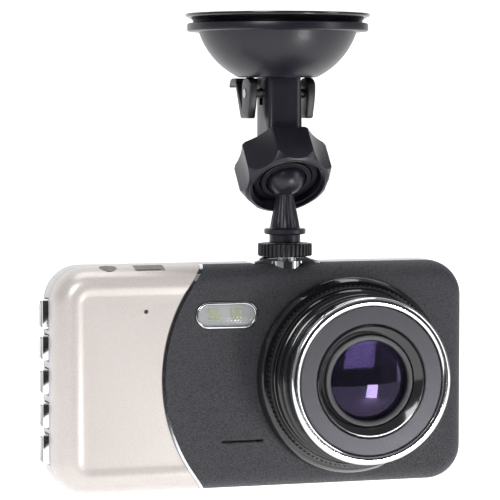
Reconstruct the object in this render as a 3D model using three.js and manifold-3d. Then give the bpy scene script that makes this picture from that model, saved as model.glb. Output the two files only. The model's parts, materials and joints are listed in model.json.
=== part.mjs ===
// Dash camera on a lever-locked suction mount, in millimetres, +Z up.
// The origin is the centre of the suction cup's sealing face and the lens looks along -Y.
import * as THREE from "three";
import { mergeVertices } from "three/addons/utils/BufferGeometryUtils.js";
import Module from "manifold-3d";

const wasm = await Module();
wasm.setup();

// ---------- driving dimensions ----------

const SEAT = 0.2; // gap between two pieces that rest on each other
const RUN = 0.25; // gap round a piece that turns or slides
const PAST = 1; // how far a cutter runs past the wall it cuts
const RINGS = 32; // facets round a turned piece

// suction cup and dome
const CUP_RADIUS = 24.85;
const CUP_LIP = 0.9;
const CUP_DEPTH = 2.5;
const CUP_NECK_RADIUS = 22.8;
const DOME_FLANGE_RADIUS = 24.35;
const DOME_FLANGE = 2.4;
const DOME_RADIUS = 21.25;
const DOME_DEPTH = 12.2;
const DOME_FLOOR_RADIUS = 8;
const DOME_WALL = 2;

// lever, its pin and the rod that pulls the cup
const ROD_RADIUS = 2.5;
const ROD_DISC_RADIUS = 6.6;
const ROD_DISC = 1.4;
const ROD_STROKE = 1.6;
const PIN_RADIUS = 1.25;
const PIN_DROP = 4.3; // pin below the dome's floor
const EAR_INNER = 7.1;
const EAR_WIDTH = 2.1;
const EAR_LENGTH = 6.7; // below the pin
const EAR_HALF_DEPTH = 3;
const LEVER_TURN = 60; // degrees from open to locked
const LIP_NEAR = 8.4; // finger lip, behind the pin
const LIP_FAR = 14.9;
const LIP_THICKNESS = 1.8;

// arm
const ARM_WIDTH = 9.3;
const ARM_FRONT = 7.3;
const ARM_BACK = 4.7;

// ball joint
const BALL_RADIUS = 5.5;
const BALL_FORWARD = 6.5; // ball centre in front of the cup's axis
const BALL_LEVEL = -43.3;
const SOCKET_TILT = 42; // degrees between the socket's axis and straight down
const BALL_SEAT_WALL = 1.2;
const BALL_SEAT_GRIP = 1.9; // how far the seat reaches past the ball's middle
const COLLAR_WALL = 1.5;
const NUT_CORNER_RADIUS = 12.7;
const NUT_FLATS = 8;
const NUT_SCALLOP = 0.7;
const NUT_BEHIND_BALL = 7.3;
const NUT_BEFORE_BALL = 3.66;
const NUT_MOUTH_RADIUS = 9.9;
const NUT_CHAMFER = 2.4;

// stud and its lock nut
const STUD_NECK_RADIUS = 2.35;
const STUD_FOOT_RADIUS = 4;
const STUD_FOOT_LEVEL = -57.4;
const STUD_FLANGE_RADIUS = 5.55;
const STUD_FLANGE = 1.5;
const STUD_COLLAR_RADIUS = 4.15;
const STUD_COLLAR = 2.3;
const SCREW_RADIUS = 3.1; // quarter-inch tripod thread, drawn plain
const SCREW_REACH = 6.5; // into the camera
const THUMB_NUT_RADIUS = 7.25;
const THUMB_NUT_HEIGHT = 3.6;
const THUMB_NUT_RIBS = 36;
const THUMB_NUT_RIB = 0.45;

// camera casing
const BODY_WIDTH = 114;
const BODY_HEIGHT = 60;
const BODY_THICKNESS = 17;
const BODY_CORNER = 9.5;
const BODY_WALL = 2.2;
const STUD_OFFSET = 7.25; // stud to the right of the casing's middle
const STUD_FORWARD = 1.6; // stud in front of the casing's middle
const BOSS_WALL = 1.5; // round the tripod thread
const SHOULDER_DEPTH = 7.5; // front edges are rounded by a quarter ellipse
const SHOULDER_INSET = 5;
const BACK_ROUND = 2.4;
const BOSS_HEIGHT = 1.6;
const FRONT_DEPTH = 7.2; // front shell, from the front face
const REAR_DEPTH = 2.4; // rear cover, from the back face

// leather-grained panel
const PANEL_SKIN = 0.8;
const PANEL_ARC_RADIUS = 43.5;
const PANEL_ARC_LEFT = -27.7;
const TRIM_WIDTH = 0.7;

// lens, measured from the casing's front face
const LENS_X = 23.3;
const LENS_REACH = 18;
const LENS_FLANGE_RADIUS = 26.2;
const LENS_FLANGE = 3.5;
const KNURL_RADIUS = 24.3;
const KNURL_WIDTH = 2.1;
const KNURL_TEETH = 60;
const LENS_TUBE_RADIUS = 23.2;
const LENS_TUBE_BORE = 20.2;
const CHROME_RADIUS = 22;
const CHROME_BORE = 19.8;
const CHROME_WIDTH = 1.9;
const FACE_BORE = 15;
const BEZEL_RADIUS = 12.2;
const GLASS_RADIUS = 10.5;
const BARREL_TAIL_RADIUS = 7;

// lamp window
const LAMP = { x: -11, z: 16.8, width: 16.9, height: 7, rim: 0.7 };
const LED_SIZE = 2.8;
const LED_SPACING = 6.2;

// sound
const SPEAKER_SLOT = { x: -6.7, z: -16.9, width: 11.7, height: 0.8 };
const SPEAKER_RADIUS = 6;
const MICROPHONE = { x: -32.8, z: 18.2, hole: 0.6, radius: 1.8 };

// sockets along the top
const SOCKETS_Y = -3.7;
const USB = { x: -31, width: 7.7, depth: 3.9, length: 8.4, wall: 0.5 };
const JACK = { x: -42, hole: 1.4, mouth: 2.3, width: 6, depth: 4, drop: 3.8, length: 11 };
const CARD = { x: 8, width: 14, length: 13, thickness: 1.4 };

// side keys
const KEY_PITCH = 8.9;
const KEY_MIDDLE_Z = -0.4;
const KEY_END_HEIGHT = 7.9;
const KEY_HEIGHT = 6.8;
const KEY_DEPTH = 4.6;
const KEY_Y = 2.9;
const KEY_PROUD = 1.5;
const KEY_TRAVEL = 0.3;
const KEY_FLANGE = 0.4;
const KEY_LAND = 0.4; // between the flange and the wall it stops on
const KEY_FLANGE_THICKNESS = 0.7;
const KEY_BORDER = 0.6; // chrome beside the inlay
const KEY_END_BORDER = 0.7; // chrome above and below the inlay
const KEY_POCKET = 0.7;
const KEY_INLAY = 0.6;
const SWITCH_GAP = 0.1; // left between a pressed key and its switch
const SWITCH_HEIGHT = 1.5;
const KEY_NAMES = ["power", "menu", "up", "ok", "down"];

// screen and boards
const SCREEN_GLASS = { width: 95, height: 52.4, thickness: 1.2, corner: 2.5 };
const SCREEN_VIEW = { width: 90, height: 50.4 };
const LCD = { width: 94, height: 54, thickness: 2.7 };
const BOARD_THICKNESS = 1.2;
const BOARD_FRONT = -1.3;
const SCREW_POST = { x: 50.3, z: 24.9, radius: 2, bore: 1.1, thread: 0.95, head: 1.8 };

// ---------- levels worked out from them ----------

const domeFloor = -CUP_DEPTH - DOME_FLANGE - DOME_DEPTH;
const casingLeft = -BODY_WIDTH / 2;
const keyFaceX = casingLeft - KEY_PROUD;
const keyInnerX = casingLeft + BODY_WALL + KEY_LAND;
const keyFlangeBack = keyInnerX + KEY_FLANGE_THICKNESS;
const switchTipX = keyFlangeBack + KEY_TRAVEL + SWITCH_GAP;
const keyBoardX = switchTipX + SWITCH_HEIGHT;
const pinLevel = domeFloor - PIN_DROP;
const collarLevel = STUD_FOOT_LEVEL - STUD_FLANGE - STUD_COLLAR;
const thumbNutFloor = collarLevel - THUMB_NUT_HEIGHT;
const bodyTop = thumbNutFloor - BOSS_HEIGHT - SEAT / 2;
const front = -BODY_THICKNESS / 2;
const back = BODY_THICKNESS / 2;
const frontSeam = front + FRONT_DEPTH;
const rearSeam = back - REAR_DEPTH;
const cavityFront = front + BODY_WALL;
const panelArcX = PANEL_ARC_LEFT + PANEL_ARC_RADIUS;
const boardBack = BOARD_FRONT + BOARD_THICKNESS;
const seatRadius = BALL_RADIUS + RUN + BALL_SEAT_WALL;
const collarRadius = seatRadius + RUN + COLLAR_WALL;

// ---------- ways of making a shape ----------

// A turned piece round +Z: points are [radius, level], counter-clockwise.
function turned(points, facets = RINGS) {
  const profile = points.map(([radius, level]) => new THREE.Vector2(radius, level));
  if (points[0][0] > 0 || points.at(-1)[0] > 0) profile.push(profile[0].clone());
  return new THREE.LatheGeometry(profile, facets).rotateX(Math.PI / 2);
}

// A turned piece round the lens axis: points are [radius, y], with y growing to the back.
function turnedAlongY(points, facets = RINGS) {
  return turned(points, facets).rotateX(-Math.PI / 2);
}

function tube(outer, inner, low, high, facets = RINGS) {
  return turned([[inner, low], [outer, low], [outer, high], [inner, high]], facets);
}

function rod(radius, low, high, facets = 24) {
  return turned([[0, low], [radius, low], [radius, high], [0, high]], facets);
}

function rodAlongX(radius, halfLength, y, z, facets = 24) {
  return rod(radius, -halfLength, halfLength, facets).rotateY(Math.PI / 2).translate(0, y, z);
}

function rodAlongY(radius, yFront, yBack, x, z, facets = 24) {
  return rod(radius, yFront, yBack, facets).rotateX(-Math.PI / 2).translate(x, 0, z);
}

function block(x0, x1, y0, y1, z0, z1) {
  const made = new THREE.BoxGeometry(x1 - x0, y1 - y0, z1 - z0);
  return made.translate((x0 + x1) / 2, (y0 + y1) / 2, (z0 + z1) / 2);
}

// An outline in X and Z, given depth from yFront to yBack.
function plate(outline, yFront, yBack, extra = {}) {
  const depth = yBack - yFront;
  const options = { depth, bevelEnabled: false, curveSegments: 5, ...extra };
  return new THREE.ExtrudeGeometry(outline, options).rotateX(Math.PI / 2).translate(0, yBack, 0);
}

// An outline in Y and Z, given width from x0 to x1.
function cheek(outline, x0, x1) {
  const options = { depth: x1 - x0, bevelEnabled: false, curveSegments: 8 };
  return new THREE.ExtrudeGeometry(outline, options)
    .rotateY(Math.PI / 2)
    .rotateX(Math.PI / 2)
    .translate(x0, 0, 0);
}

function roundedRectangle(width, height, radius) {
  const x = width / 2;
  const z = height / 2;
  const outline = new THREE.Shape();
  outline.moveTo(-x + radius, -z);
  outline.lineTo(x - radius, -z);
  outline.absarc(x - radius, -z + radius, radius, -Math.PI / 2, 0);
  outline.lineTo(x, z - radius);
  outline.absarc(x - radius, z - radius, radius, 0, Math.PI / 2);
  outline.lineTo(-x + radius, z);
  outline.absarc(-x + radius, z - radius, radius, Math.PI / 2, Math.PI);
  outline.lineTo(-x, -z + radius);
  outline.absarc(-x + radius, -z + radius, radius, Math.PI, 1.5 * Math.PI);
  return outline;
}

function stadium(width, height) {
  const radius = height / 2;
  const x = width / 2 - radius;
  const outline = new THREE.Shape();
  outline.moveTo(-x, -radius);
  outline.lineTo(x, -radius);
  outline.absarc(x, 0, radius, -Math.PI / 2, Math.PI / 2);
  outline.lineTo(-x, radius);
  outline.absarc(-x, 0, radius, Math.PI / 2, 1.5 * Math.PI);
  return outline;
}

function solid(geometry) {
  const bare = geometry.clone();
  bare.deleteAttribute("normal");
  bare.deleteAttribute("uv");
  const merged = mergeVertices(bare, 1e-4);
  return new wasm.Manifold(
    new wasm.Mesh({
      numProp: 3,
      vertProperties: new Float32Array(merged.attributes.position.array),
      triVerts: new Uint32Array(merged.index.array),
    }),
  );
}

const asSolid = (shape) => (shape.isBufferGeometry ? solid(shape) : shape);

const joined = (first, ...others) =>
  others.reduce((whole, other) => whole.add(asSolid(other)), asSolid(first));

const cut = (first, ...cutters) =>
  cutters.reduce((whole, cutter) => whole.subtract(asSolid(cutter)), asSolid(first));

const common = (first, second) => asSolid(first).intersect(asSolid(second));

function geometryOf(shape) {
  if (shape.isBufferGeometry) return shape;
  const made = shape.getMesh();
  const geometry = new THREE.BufferGeometry();
  geometry.setAttribute("position", new THREE.BufferAttribute(made.vertProperties, 3));
  geometry.setIndex(new THREE.BufferAttribute(made.triVerts, 1));
  geometry.computeVertexNormals();
  return geometry;
}

// ---------- finishes ----------

const FINISHES = {
  mountPlastic: { color: 0x3d3b46, roughness: 0.42, metalness: 0 },
  rubber: { color: 0x17171a, roughness: 0.3, metalness: 0 },
  steel: { color: 0xa9abae, roughness: 0.35, metalness: 1 },
  chrome: { color: 0xd9dadc, roughness: 0.08, metalness: 1 },
  champagne: { color: 0xd0c7c4, roughness: 0.3, metalness: 0.2 },
  silverPlastic: { color: 0xb4b2b3, roughness: 0.35, metalness: 0.2 },
  leather: { color: 0x3f3f45, roughness: 0.65, metalness: 0 },
  glossBlack: { color: 0x0e0e11, roughness: 0.12, metalness: 0 },
  satinBlack: { color: 0x1c1c20, roughness: 0.5, metalness: 0 },
  graphite: { color: 0x4a494f, roughness: 0.4, metalness: 0.6 },
  glass: { color: 0x1a1626, roughness: 0.02, metalness: 0 },
  clearPlastic: { color: 0xe6e8ea, roughness: 0.15, metalness: 0 },
  led: { color: 0xd7d98a, roughness: 0.4, metalness: 0 },
  board: { color: 0x1e5a36, roughness: 0.5, metalness: 0 },
  tin: { color: 0xb9bbbd, roughness: 0.3, metalness: 1 },
  cell: { color: 0x8f959c, roughness: 0.4, metalness: 0.5 },
};

const group = new THREE.Group();

function place(parent, name, finish, shape) {
  const material = new THREE.MeshStandardMaterial(FINISHES[finish]);
  const mesh = new THREE.Mesh(geometryOf(shape), material);
  mesh.name = name;
  parent.add(mesh);
  return mesh;
}

// ---------- suction mount ----------

function suctionCup() {
  const recess = ROD_DISC_RADIUS + RUN;
  const recessLevel = -CUP_DEPTH + CUP_LIP;
  return turned([
    [0, recessLevel],
    [recess, recessLevel],
    [recess, -CUP_DEPTH],
    [CUP_NECK_RADIUS, -CUP_DEPTH],
    [CUP_NECK_RADIUS, -CUP_LIP - 0.8],
    [CUP_RADIUS - 0.4, -CUP_LIP],
    [CUP_RADIUS, -CUP_LIP / 2],
    [CUP_RADIUS, 0],
    [0, 0],
  ]);
}

// The bowl's side at a share of a quarter turn, from its rim (0) to its floor (1).
function bowl(share, shrink) {
  const angle = (share * Math.PI) / 2;
  const reach = DOME_RADIUS - DOME_FLOOR_RADIUS - shrink;
  const level = domeFloor + DOME_DEPTH - (DOME_DEPTH - shrink) * Math.sin(angle);
  return [DOME_FLOOR_RADIUS + reach * Math.cos(angle), level];
}

function domeHousing() {
  const steps = [0, 0.2, 0.4, 0.6, 0.8, 1];
  const top = -CUP_DEPTH - SEAT / 2;
  const hole = ROD_RADIUS + RUN;
  return turned([
    [hole, domeFloor],
    ...steps.map((share) => bowl(share, 0)).reverse(),
    [DOME_FLANGE_RADIUS, -CUP_DEPTH - DOME_FLANGE],
    [DOME_FLANGE_RADIUS, top],
    [DOME_RADIUS - DOME_WALL, top],
    ...steps.map((share) => bowl(share, DOME_WALL)),
    [hole, domeFloor + DOME_WALL],
  ]);
}

function pullRod() {
  const discTop = -CUP_DEPTH + CUP_LIP - SEAT;
  const body = turned([
    [0, pinLevel - ROD_RADIUS],
    [ROD_RADIUS, pinLevel - ROD_RADIUS],
    [ROD_RADIUS, discTop - ROD_DISC],
    [ROD_DISC_RADIUS, discTop - ROD_DISC],
    [ROD_DISC_RADIUS, discTop],
    [0, discTop],
  ], 32);
  return cut(body, rodAlongX(PIN_RADIUS + 0.1, ROD_RADIUS + PAST, 0, pinLevel, 16));
}

function leverPin() {
  return rodAlongX(PIN_RADIUS, EAR_INNER + EAR_WIDTH + 0.2, 0, pinLevel, 16);
}

// One side of the lever, in Y and Z from the pin: a cam that grows to the front, and a sloping arm behind.
function leverSide() {
  const camStart = PIN_DROP - SEAT;
  const turn = THREE.MathUtils.degToRad(LEVER_TURN);
  const outline = new THREE.Shape();
  outline.moveTo(EAR_HALF_DEPTH, -EAR_LENGTH + 2.6);
  outline.lineTo(EAR_HALF_DEPTH, 1);
  outline.quadraticCurveTo(EAR_HALF_DEPTH, camStart, 0, camStart);
  for (const share of [0.25, 0.5, 0.75, 1]) {
    const radius = camStart + (ROD_STROKE - SEAT) * share;
    outline.lineTo(-radius * Math.sin(turn * share), radius * Math.cos(turn * share));
  }
  outline.quadraticCurveTo(-EAR_HALF_DEPTH - 2.4, 0, -EAR_HALF_DEPTH, -EAR_LENGTH + 1.2);
  outline.quadraticCurveTo(-EAR_HALF_DEPTH, -EAR_LENGTH, -EAR_HALF_DEPTH + 1.2, -EAR_LENGTH);
  outline.lineTo(EAR_HALF_DEPTH + 1.2, -EAR_LENGTH);
  outline.lineTo(LIP_NEAR + 1.3, camStart - LIP_THICKNESS / 2);
  outline.lineTo(LIP_NEAR, camStart - LIP_THICKNESS / 2);
  outline.closePath();
  return outline;
}

function lockLever() {
  const outline = leverSide();
  const outer = EAR_INNER + EAR_WIDTH;
  const lipTop = PIN_DROP - SEAT;
  const ears = joined(
    cheek(outline, -outer, -EAR_INNER),
    cheek(outline, EAR_INNER, outer),
    block(-outer, outer, LIP_NEAR, LIP_FAR, lipTop - LIP_THICKNESS, lipTop),
  );
  const drilled = cut(ears, rodAlongX(PIN_RADIUS + 0.1, outer + PAST, 0, 0, 16));
  return drilled.translate([0, 0, pinLevel]);
}

// ---------- arm and ball joint ----------

const socketTilt = THREE.MathUtils.degToRad(SOCKET_TILT);

// Turns a solid made round the ball, with the socket's mouth at -Z, onto the socket's real axis.
const ontoSocket = (shape) =>
  asSolid(shape).rotate([-SOCKET_TILT, 0, 0]).translate([0, -BALL_FORWARD, BALL_LEVEL]);

function mountArm() {
  const top = domeFloor - SEAT / 2;
  const behind = NUT_BEHIND_BALL + 1.6;
  const rear = new THREE.Vector2(
    -BALL_FORWARD + behind * Math.sin(socketTilt),
    BALL_LEVEL + behind * Math.cos(socketTilt),
  );
  const outline = new THREE.Shape();
  outline.moveTo(ARM_BACK, top);
  outline.lineTo(-ARM_FRONT, top);
  outline.lineTo(-ARM_FRONT, rear.y + 3);
  outline.lineTo(rear.x - 6.5, rear.y + 1.5);
  outline.lineTo(rear.x + 4.5, rear.y - 7.5);
  outline.quadraticCurveTo(ARM_BACK, rear.y - 4, ARM_BACK, rear.y + 3);
  outline.closePath();
  const nutSpace = ontoSocket(
    tube(NUT_CORNER_RADIUS + 2, collarRadius, -NUT_BEFORE_BALL - 2, NUT_BEHIND_BALL + RUN),
  );
  const column = cut(cheek(outline, -ARM_WIDTH / 2, ARM_WIDTH / 2), nutSpace);
  const collar = ontoSocket(
    turned([
      [0, behind - 1.2],
      [0, BALL_RADIUS + 1.8],
      [seatRadius + RUN, BALL_RADIUS + 0.4],
      [seatRadius + RUN, -BALL_SEAT_GRIP + 0.6],
      [collarRadius, -BALL_SEAT_GRIP + 0.6],
      [collarRadius, behind - 1.2],
    ]),
  );
  const hollow = ontoSocket(rod(seatRadius + RUN, -BALL_SEAT_GRIP - PAST, BALL_RADIUS + 0.4, RINGS));
  const slot = PIN_RADIUS + RUN;
  return cut(
    joined(column, collar),
    hollow,
    rod(ROD_RADIUS + RUN, pinLevel - ROD_RADIUS - ROD_STROKE - 0.6, top + PAST),
    block(
      -ARM_WIDTH, ARM_WIDTH,
      -slot, slot,
      pinLevel - slot - ROD_STROKE, pinLevel + slot,
    ),
  );
}

function clampNut() {
  const outline = new THREE.Shape();
  const corner = (index) => {
    const angle = (index * 2 * Math.PI) / NUT_FLATS + Math.PI / 2;
    return [NUT_CORNER_RADIUS * Math.cos(angle), NUT_CORNER_RADIUS * Math.sin(angle)];
  };
  outline.moveTo(...corner(0));
  for (let index = 1; index <= NUT_FLATS; index += 1) {
    const [x0, y0] = corner(index - 1);
    const [x1, y1] = corner(index);
    const pull = 1 - (2 * NUT_SCALLOP) / NUT_CORNER_RADIUS;
    outline.quadraticCurveTo(((x0 + x1) / 2) * pull, ((y0 + y1) / 2) * pull, x1, y1);
  }
  const height = NUT_BEFORE_BALL + NUT_BEHIND_BALL;
  const prism = new THREE.ExtrudeGeometry(outline, { depth: height, bevelEnabled: false, curveSegments: 4 })
    .translate(0, 0, -NUT_BEFORE_BALL);
  const envelope = rod(NUT_CORNER_RADIUS + PAST, -NUT_BEFORE_BALL, NUT_BEHIND_BALL, RINGS);
  const chamfered = turned([
    [0, -NUT_BEFORE_BALL],
    [NUT_MOUTH_RADIUS + 0.6, -NUT_BEFORE_BALL],
    [NUT_CORNER_RADIUS + 0.1, -NUT_BEFORE_BALL + NUT_CHAMFER + 0.4],
    [NUT_CORNER_RADIUS + 0.1, NUT_BEHIND_BALL - 0.8],
    [NUT_CORNER_RADIUS - 0.9, NUT_BEHIND_BALL],
    [0, NUT_BEHIND_BALL],
  ]);
  const bore = turned([
    [0, -NUT_BEFORE_BALL - PAST],
    [NUT_MOUTH_RADIUS, -NUT_BEFORE_BALL - PAST],
    [NUT_MOUTH_RADIUS, -BALL_SEAT_GRIP],
    [collarRadius + RUN, -BALL_SEAT_GRIP + 1.5],
    [collarRadius + RUN, NUT_BEHIND_BALL + PAST],
    [0, NUT_BEHIND_BALL + PAST],
  ]);
  return ontoSocket(cut(common(common(prism, envelope), chamfered), bore));
}

function ballSeat() {
  const bore = BALL_RADIUS + RUN;
  const rearLevel = 4.4;
  const curve = [];
  const steps = 5;
  for (let step = 0; step <= steps; step += 1) {
    const level = rearLevel - ((rearLevel + BALL_SEAT_GRIP) * step) / steps;
    curve.push([Math.sqrt(bore ** 2 - level ** 2), level]);
  }
  return ontoSocket(turned([[seatRadius, -BALL_SEAT_GRIP], [seatRadius, rearLevel], ...curve]));
}

function ballStud() {
  const neckAngle = Math.asin(STUD_NECK_RADIUS / BALL_RADIUS);
  const ball = [];
  const steps = 10;
  for (let step = 1; step <= steps; step += 1) {
    const angle = neckAngle + ((Math.PI - neckAngle) * step) / steps;
    ball.push([BALL_RADIUS * Math.sin(angle), BALL_LEVEL - BALL_RADIUS * Math.cos(angle)]);
  }
  ball.at(-1)[0] = 0;
  const bore = SCREW_RADIUS + SEAT / 2;
  const boreTop = STUD_FOOT_LEVEL + 4;
  return turned([
    [0, boreTop],
    [bore - 1, boreTop],
    [bore, boreTop - 1],
    [bore, collarLevel],
    [STUD_COLLAR_RADIUS, collarLevel],
    [STUD_COLLAR_RADIUS, STUD_FOOT_LEVEL - STUD_FLANGE],
    [STUD_FLANGE_RADIUS, STUD_FOOT_LEVEL - STUD_FLANGE],
    [STUD_FLANGE_RADIUS, STUD_FOOT_LEVEL],
    [STUD_FOOT_RADIUS, STUD_FOOT_LEVEL],
    [STUD_NECK_RADIUS, BALL_LEVEL - BALL_RADIUS * Math.cos(neckAngle)],
    ...ball,
  ], 24).translate(0, -BALL_FORWARD, 0);
}

function studScrew() {
  return turned([
    [0, bodyTop - SCREW_REACH],
    [SCREW_RADIUS - 0.6, bodyTop - SCREW_REACH],
    [SCREW_RADIUS, bodyTop - SCREW_REACH + 0.6],
    [SCREW_RADIUS, STUD_FOOT_LEVEL + 2.6],
    [SCREW_RADIUS - 1, STUD_FOOT_LEVEL + 3.6],
    [0, STUD_FOOT_LEVEL + 3.6],
  ], 24).translate(0, -BALL_FORWARD, 0);
}

function thumbNut() {
  const outline = new THREE.Shape();
  for (let rib = 0; rib < THUMB_NUT_RIBS; rib += 1) {
    for (const [share, radius] of [
      [0, THUMB_NUT_RADIUS - THUMB_NUT_RIB],
      [0.35, THUMB_NUT_RADIUS],
      [0.65, THUMB_NUT_RADIUS],
    ]) {
      const angle = ((rib + share) * 2 * Math.PI) / THUMB_NUT_RIBS;
      const point = [radius * Math.cos(angle), radius * Math.sin(angle)];
      if (rib === 0 && share === 0) outline.moveTo(...point);
      else outline.lineTo(...point);
    }
  }
  outline.closePath();
  const bore = new THREE.Path();
  bore.absarc(0, 0, SCREW_RADIUS + RUN, 0, 2 * Math.PI, true);
  outline.holes.push(bore);
  const height = THUMB_NUT_HEIGHT - SEAT / 2;
  return new THREE.ExtrudeGeometry(outline, { depth: height, bevelEnabled: false, curveSegments: 12 })
    .translate(0, -BALL_FORWARD, thumbNutFloor);
}

// ---------- camera casing ----------

// The casing's outer form, drawn in by an even amount on every side.
function casing(inset) {
  const width = BODY_WIDTH - 2 * inset;
  const height = BODY_HEIGHT - 2 * inset;
  const corner = BODY_CORNER - inset;
  const rounded = (deep, wide) => {
    const outline = roundedRectangle(width - 2 * wide, height - 2 * wide, Math.max(corner - wide, 0.5));
    return { outline, extra: { bevelEnabled: true, bevelThickness: deep, bevelSize: wide, bevelSegments: 5 } };
  };
  const shoulder = rounded(SHOULDER_DEPTH - inset, SHOULDER_INSET - inset);
  const fronted = plate(
    shoulder.outline, front + SHOULDER_DEPTH, back + 2 * SHOULDER_DEPTH, shoulder.extra,
  );
  const backWide = Math.max(BACK_ROUND - inset, 0.2);
  const heel = rounded(backWide, backWide);
  const backed = plate(
    heel.outline, front - 2 * SHOULDER_DEPTH, back - inset - backWide, heel.extra,
  );
  return common(fronted, backed);
}

// Everything right of the curved edge of the panel, as a prism.
function panelSide(radius, yFront, yBack) {
  const outline = new THREE.Shape();
  outline.moveTo(BODY_WIDTH, -radius);
  outline.lineTo(BODY_WIDTH, radius);
  outline.lineTo(panelArcX, radius);
  outline.absarc(panelArcX, 0, radius, Math.PI / 2, 1.5 * Math.PI);
  outline.closePath();
  return plate(outline, yFront, yBack, { curveSegments: 24 });
}

const everywhereInY = [front - PAST, back + PAST];

function slab(yFront, yBack) {
  return block(-BODY_WIDTH, BODY_WIDTH, yFront, yBack, -BODY_HEIGHT, BODY_HEIGHT);
}

const outerForm = casing(0);
const skinForm = casing(PANEL_SKIN);
const recessForm = casing(PANEL_SKIN + SEAT);
const cavityForm = casing(BODY_WALL);

function throughLamp(extra) {
  const outline = stadium(LAMP.width + 2 * extra, LAMP.height + 2 * extra);
  return plate(outline, front - PAST, cavityFront + PAST).translate(LAMP.x, 0, LAMP.z);
}

function throughSlot() {
  const outline = stadium(SPEAKER_SLOT.width, SPEAKER_SLOT.height);
  return plate(outline, front - PAST, cavityFront + PAST, { curveSegments: 4 })
    .translate(SPEAKER_SLOT.x, 0, SPEAKER_SLOT.z);
}

function throughLens(extra) {
  return rodAlongY(LENS_TUBE_RADIUS - 2 + extra, front - PAST, cavityFront + PAST, LENS_X, 0, RINGS);
}

function bossHole() {
  const hole = rod(SCREW_RADIUS + BOSS_WALL + RUN, BODY_HEIGHT / 2 - 5 * BODY_WALL, BODY_HEIGHT / 2 + PAST);
  return hole.translate(STUD_OFFSET, -STUD_FORWARD, 0);
}

// The four screw posts, as rods between two depths.
function atPosts(radius, yFront, yBack) {
  const rods = [];
  for (const x of [-SCREW_POST.x, SCREW_POST.x]) {
    for (const z of [-SCREW_POST.z, SCREW_POST.z]) {
      rods.push(rodAlongY(radius, yFront, yBack, x, z, 16));
    }
  }
  return rods;
}

function frontShell() {
  const bored = cut(common(outerForm, slab(front - PAST, frontSeam)), cavityForm);
  const recess = cut(
    common(cut(outerForm, recessForm), panelSide(PANEL_ARC_RADIUS + TRIM_WIDTH + SEAT, ...everywhereInY)),
    slab(frontSeam - SEAT, back + PAST),
  );
  const posts = atPosts(SCREW_POST.radius, cavityFront - 0.5, frontSeam)
    .map((post) => common(post, recessForm));
  const drills = atPosts(SCREW_POST.bore, cavityFront + 1.2, back);
  const top = BODY_HEIGHT / 2;
  return cut(
    joined(cut(bored, recess), ...posts),
    ...drills,
    throughLamp(SEAT),
    throughSlot(),
    throughLens(SEAT),
    bossHole(),
    rodAlongY(MICROPHONE.hole, front - PAST, cavityFront + PAST, MICROPHONE.x, MICROPHONE.z, 12),
    rod(JACK.mouth, top - 2 * BODY_WALL, top + PAST).translate(JACK.x, SOCKETS_Y, 0),
    block(
      USB.x - USB.width / 2 - SEAT, USB.x + USB.width / 2 + SEAT,
      SOCKETS_Y - USB.depth / 2 - SEAT, SOCKETS_Y + USB.depth / 2 + SEAT,
      top - 2 * BODY_WALL, top + PAST,
    ),
    block(
      CARD.x - CARD.width / 2, CARD.x + CARD.width / 2,
      BOARD_FRONT - CARD.thickness - 2 * SEAT, frontSeam + PAST,
      -top - PAST, -top + 2 * BODY_WALL,
    ),
  );
}

function leatherPanel() {
  const skin = common(
    cut(outerForm, skinForm),
    panelSide(PANEL_ARC_RADIUS, ...everywhereInY),
  );
  const trimmed = common(skin, slab(front - PAST, frontSeam - 2 * SEAT));
  return cut(trimmed, throughLamp(SEAT), throughSlot(), throughLens(SEAT), bossHole());
}

function panelTrim() {
  const inner = PANEL_ARC_RADIUS + SEAT / 2;
  const band = cut(
    panelSide(inner + TRIM_WIDTH, ...everywhereInY),
    panelSide(inner, front - 2 * PAST, back + 2 * PAST),
  );
  const strip = common(cut(outerForm, skinForm), band);
  return common(strip, slab(front - PAST, frontSeam - 2 * SEAT));
}

function keyPlaces() {
  return KEY_NAMES.map((name, index) => ({
    name,
    z: KEY_MIDDLE_Z + (2 - index) * KEY_PITCH,
    height: index === 0 || index === KEY_NAMES.length - 1 ? KEY_END_HEIGHT : KEY_HEIGHT,
  }));
}

function midFrame() {
  const ring = cut(common(outerForm, slab(frontSeam + SEAT, rearSeam)), cavityForm);
  const slots = keyPlaces().map(({ z, height }) =>
    block(
      casingLeft - PAST, casingLeft + BODY_WALL + PAST,
      KEY_Y - KEY_DEPTH / 2 - RUN, KEY_Y + KEY_DEPTH / 2 + RUN,
      z - height / 2 - RUN, z + height / 2 + RUN,
    ),
  );
  return cut(ring, bossHole(), ...slots);
}

function rearCover() {
  const lid = common(outerForm, slab(rearSeam + SEAT, back + PAST));
  const seatDepth = back - SCREEN_GLASS.thickness - SEAT;
  const seat = roundedRectangle(
    SCREEN_GLASS.width + 2 * SEAT, SCREEN_GLASS.height + 2 * SEAT, SCREEN_GLASS.corner + SEAT,
  );
  const view = roundedRectangle(SCREEN_VIEW.width, SCREEN_VIEW.height, 1);
  return cut(
    lid,
    plate(seat, seatDepth, back + PAST),
    plate(view, rearSeam - PAST, back + PAST),
    ...atPosts(SCREW_POST.bore, rearSeam - PAST, back + PAST),
    ...atPosts(SCREW_POST.head + 0.15, back - 1.4, back + PAST),
  );
}

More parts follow.
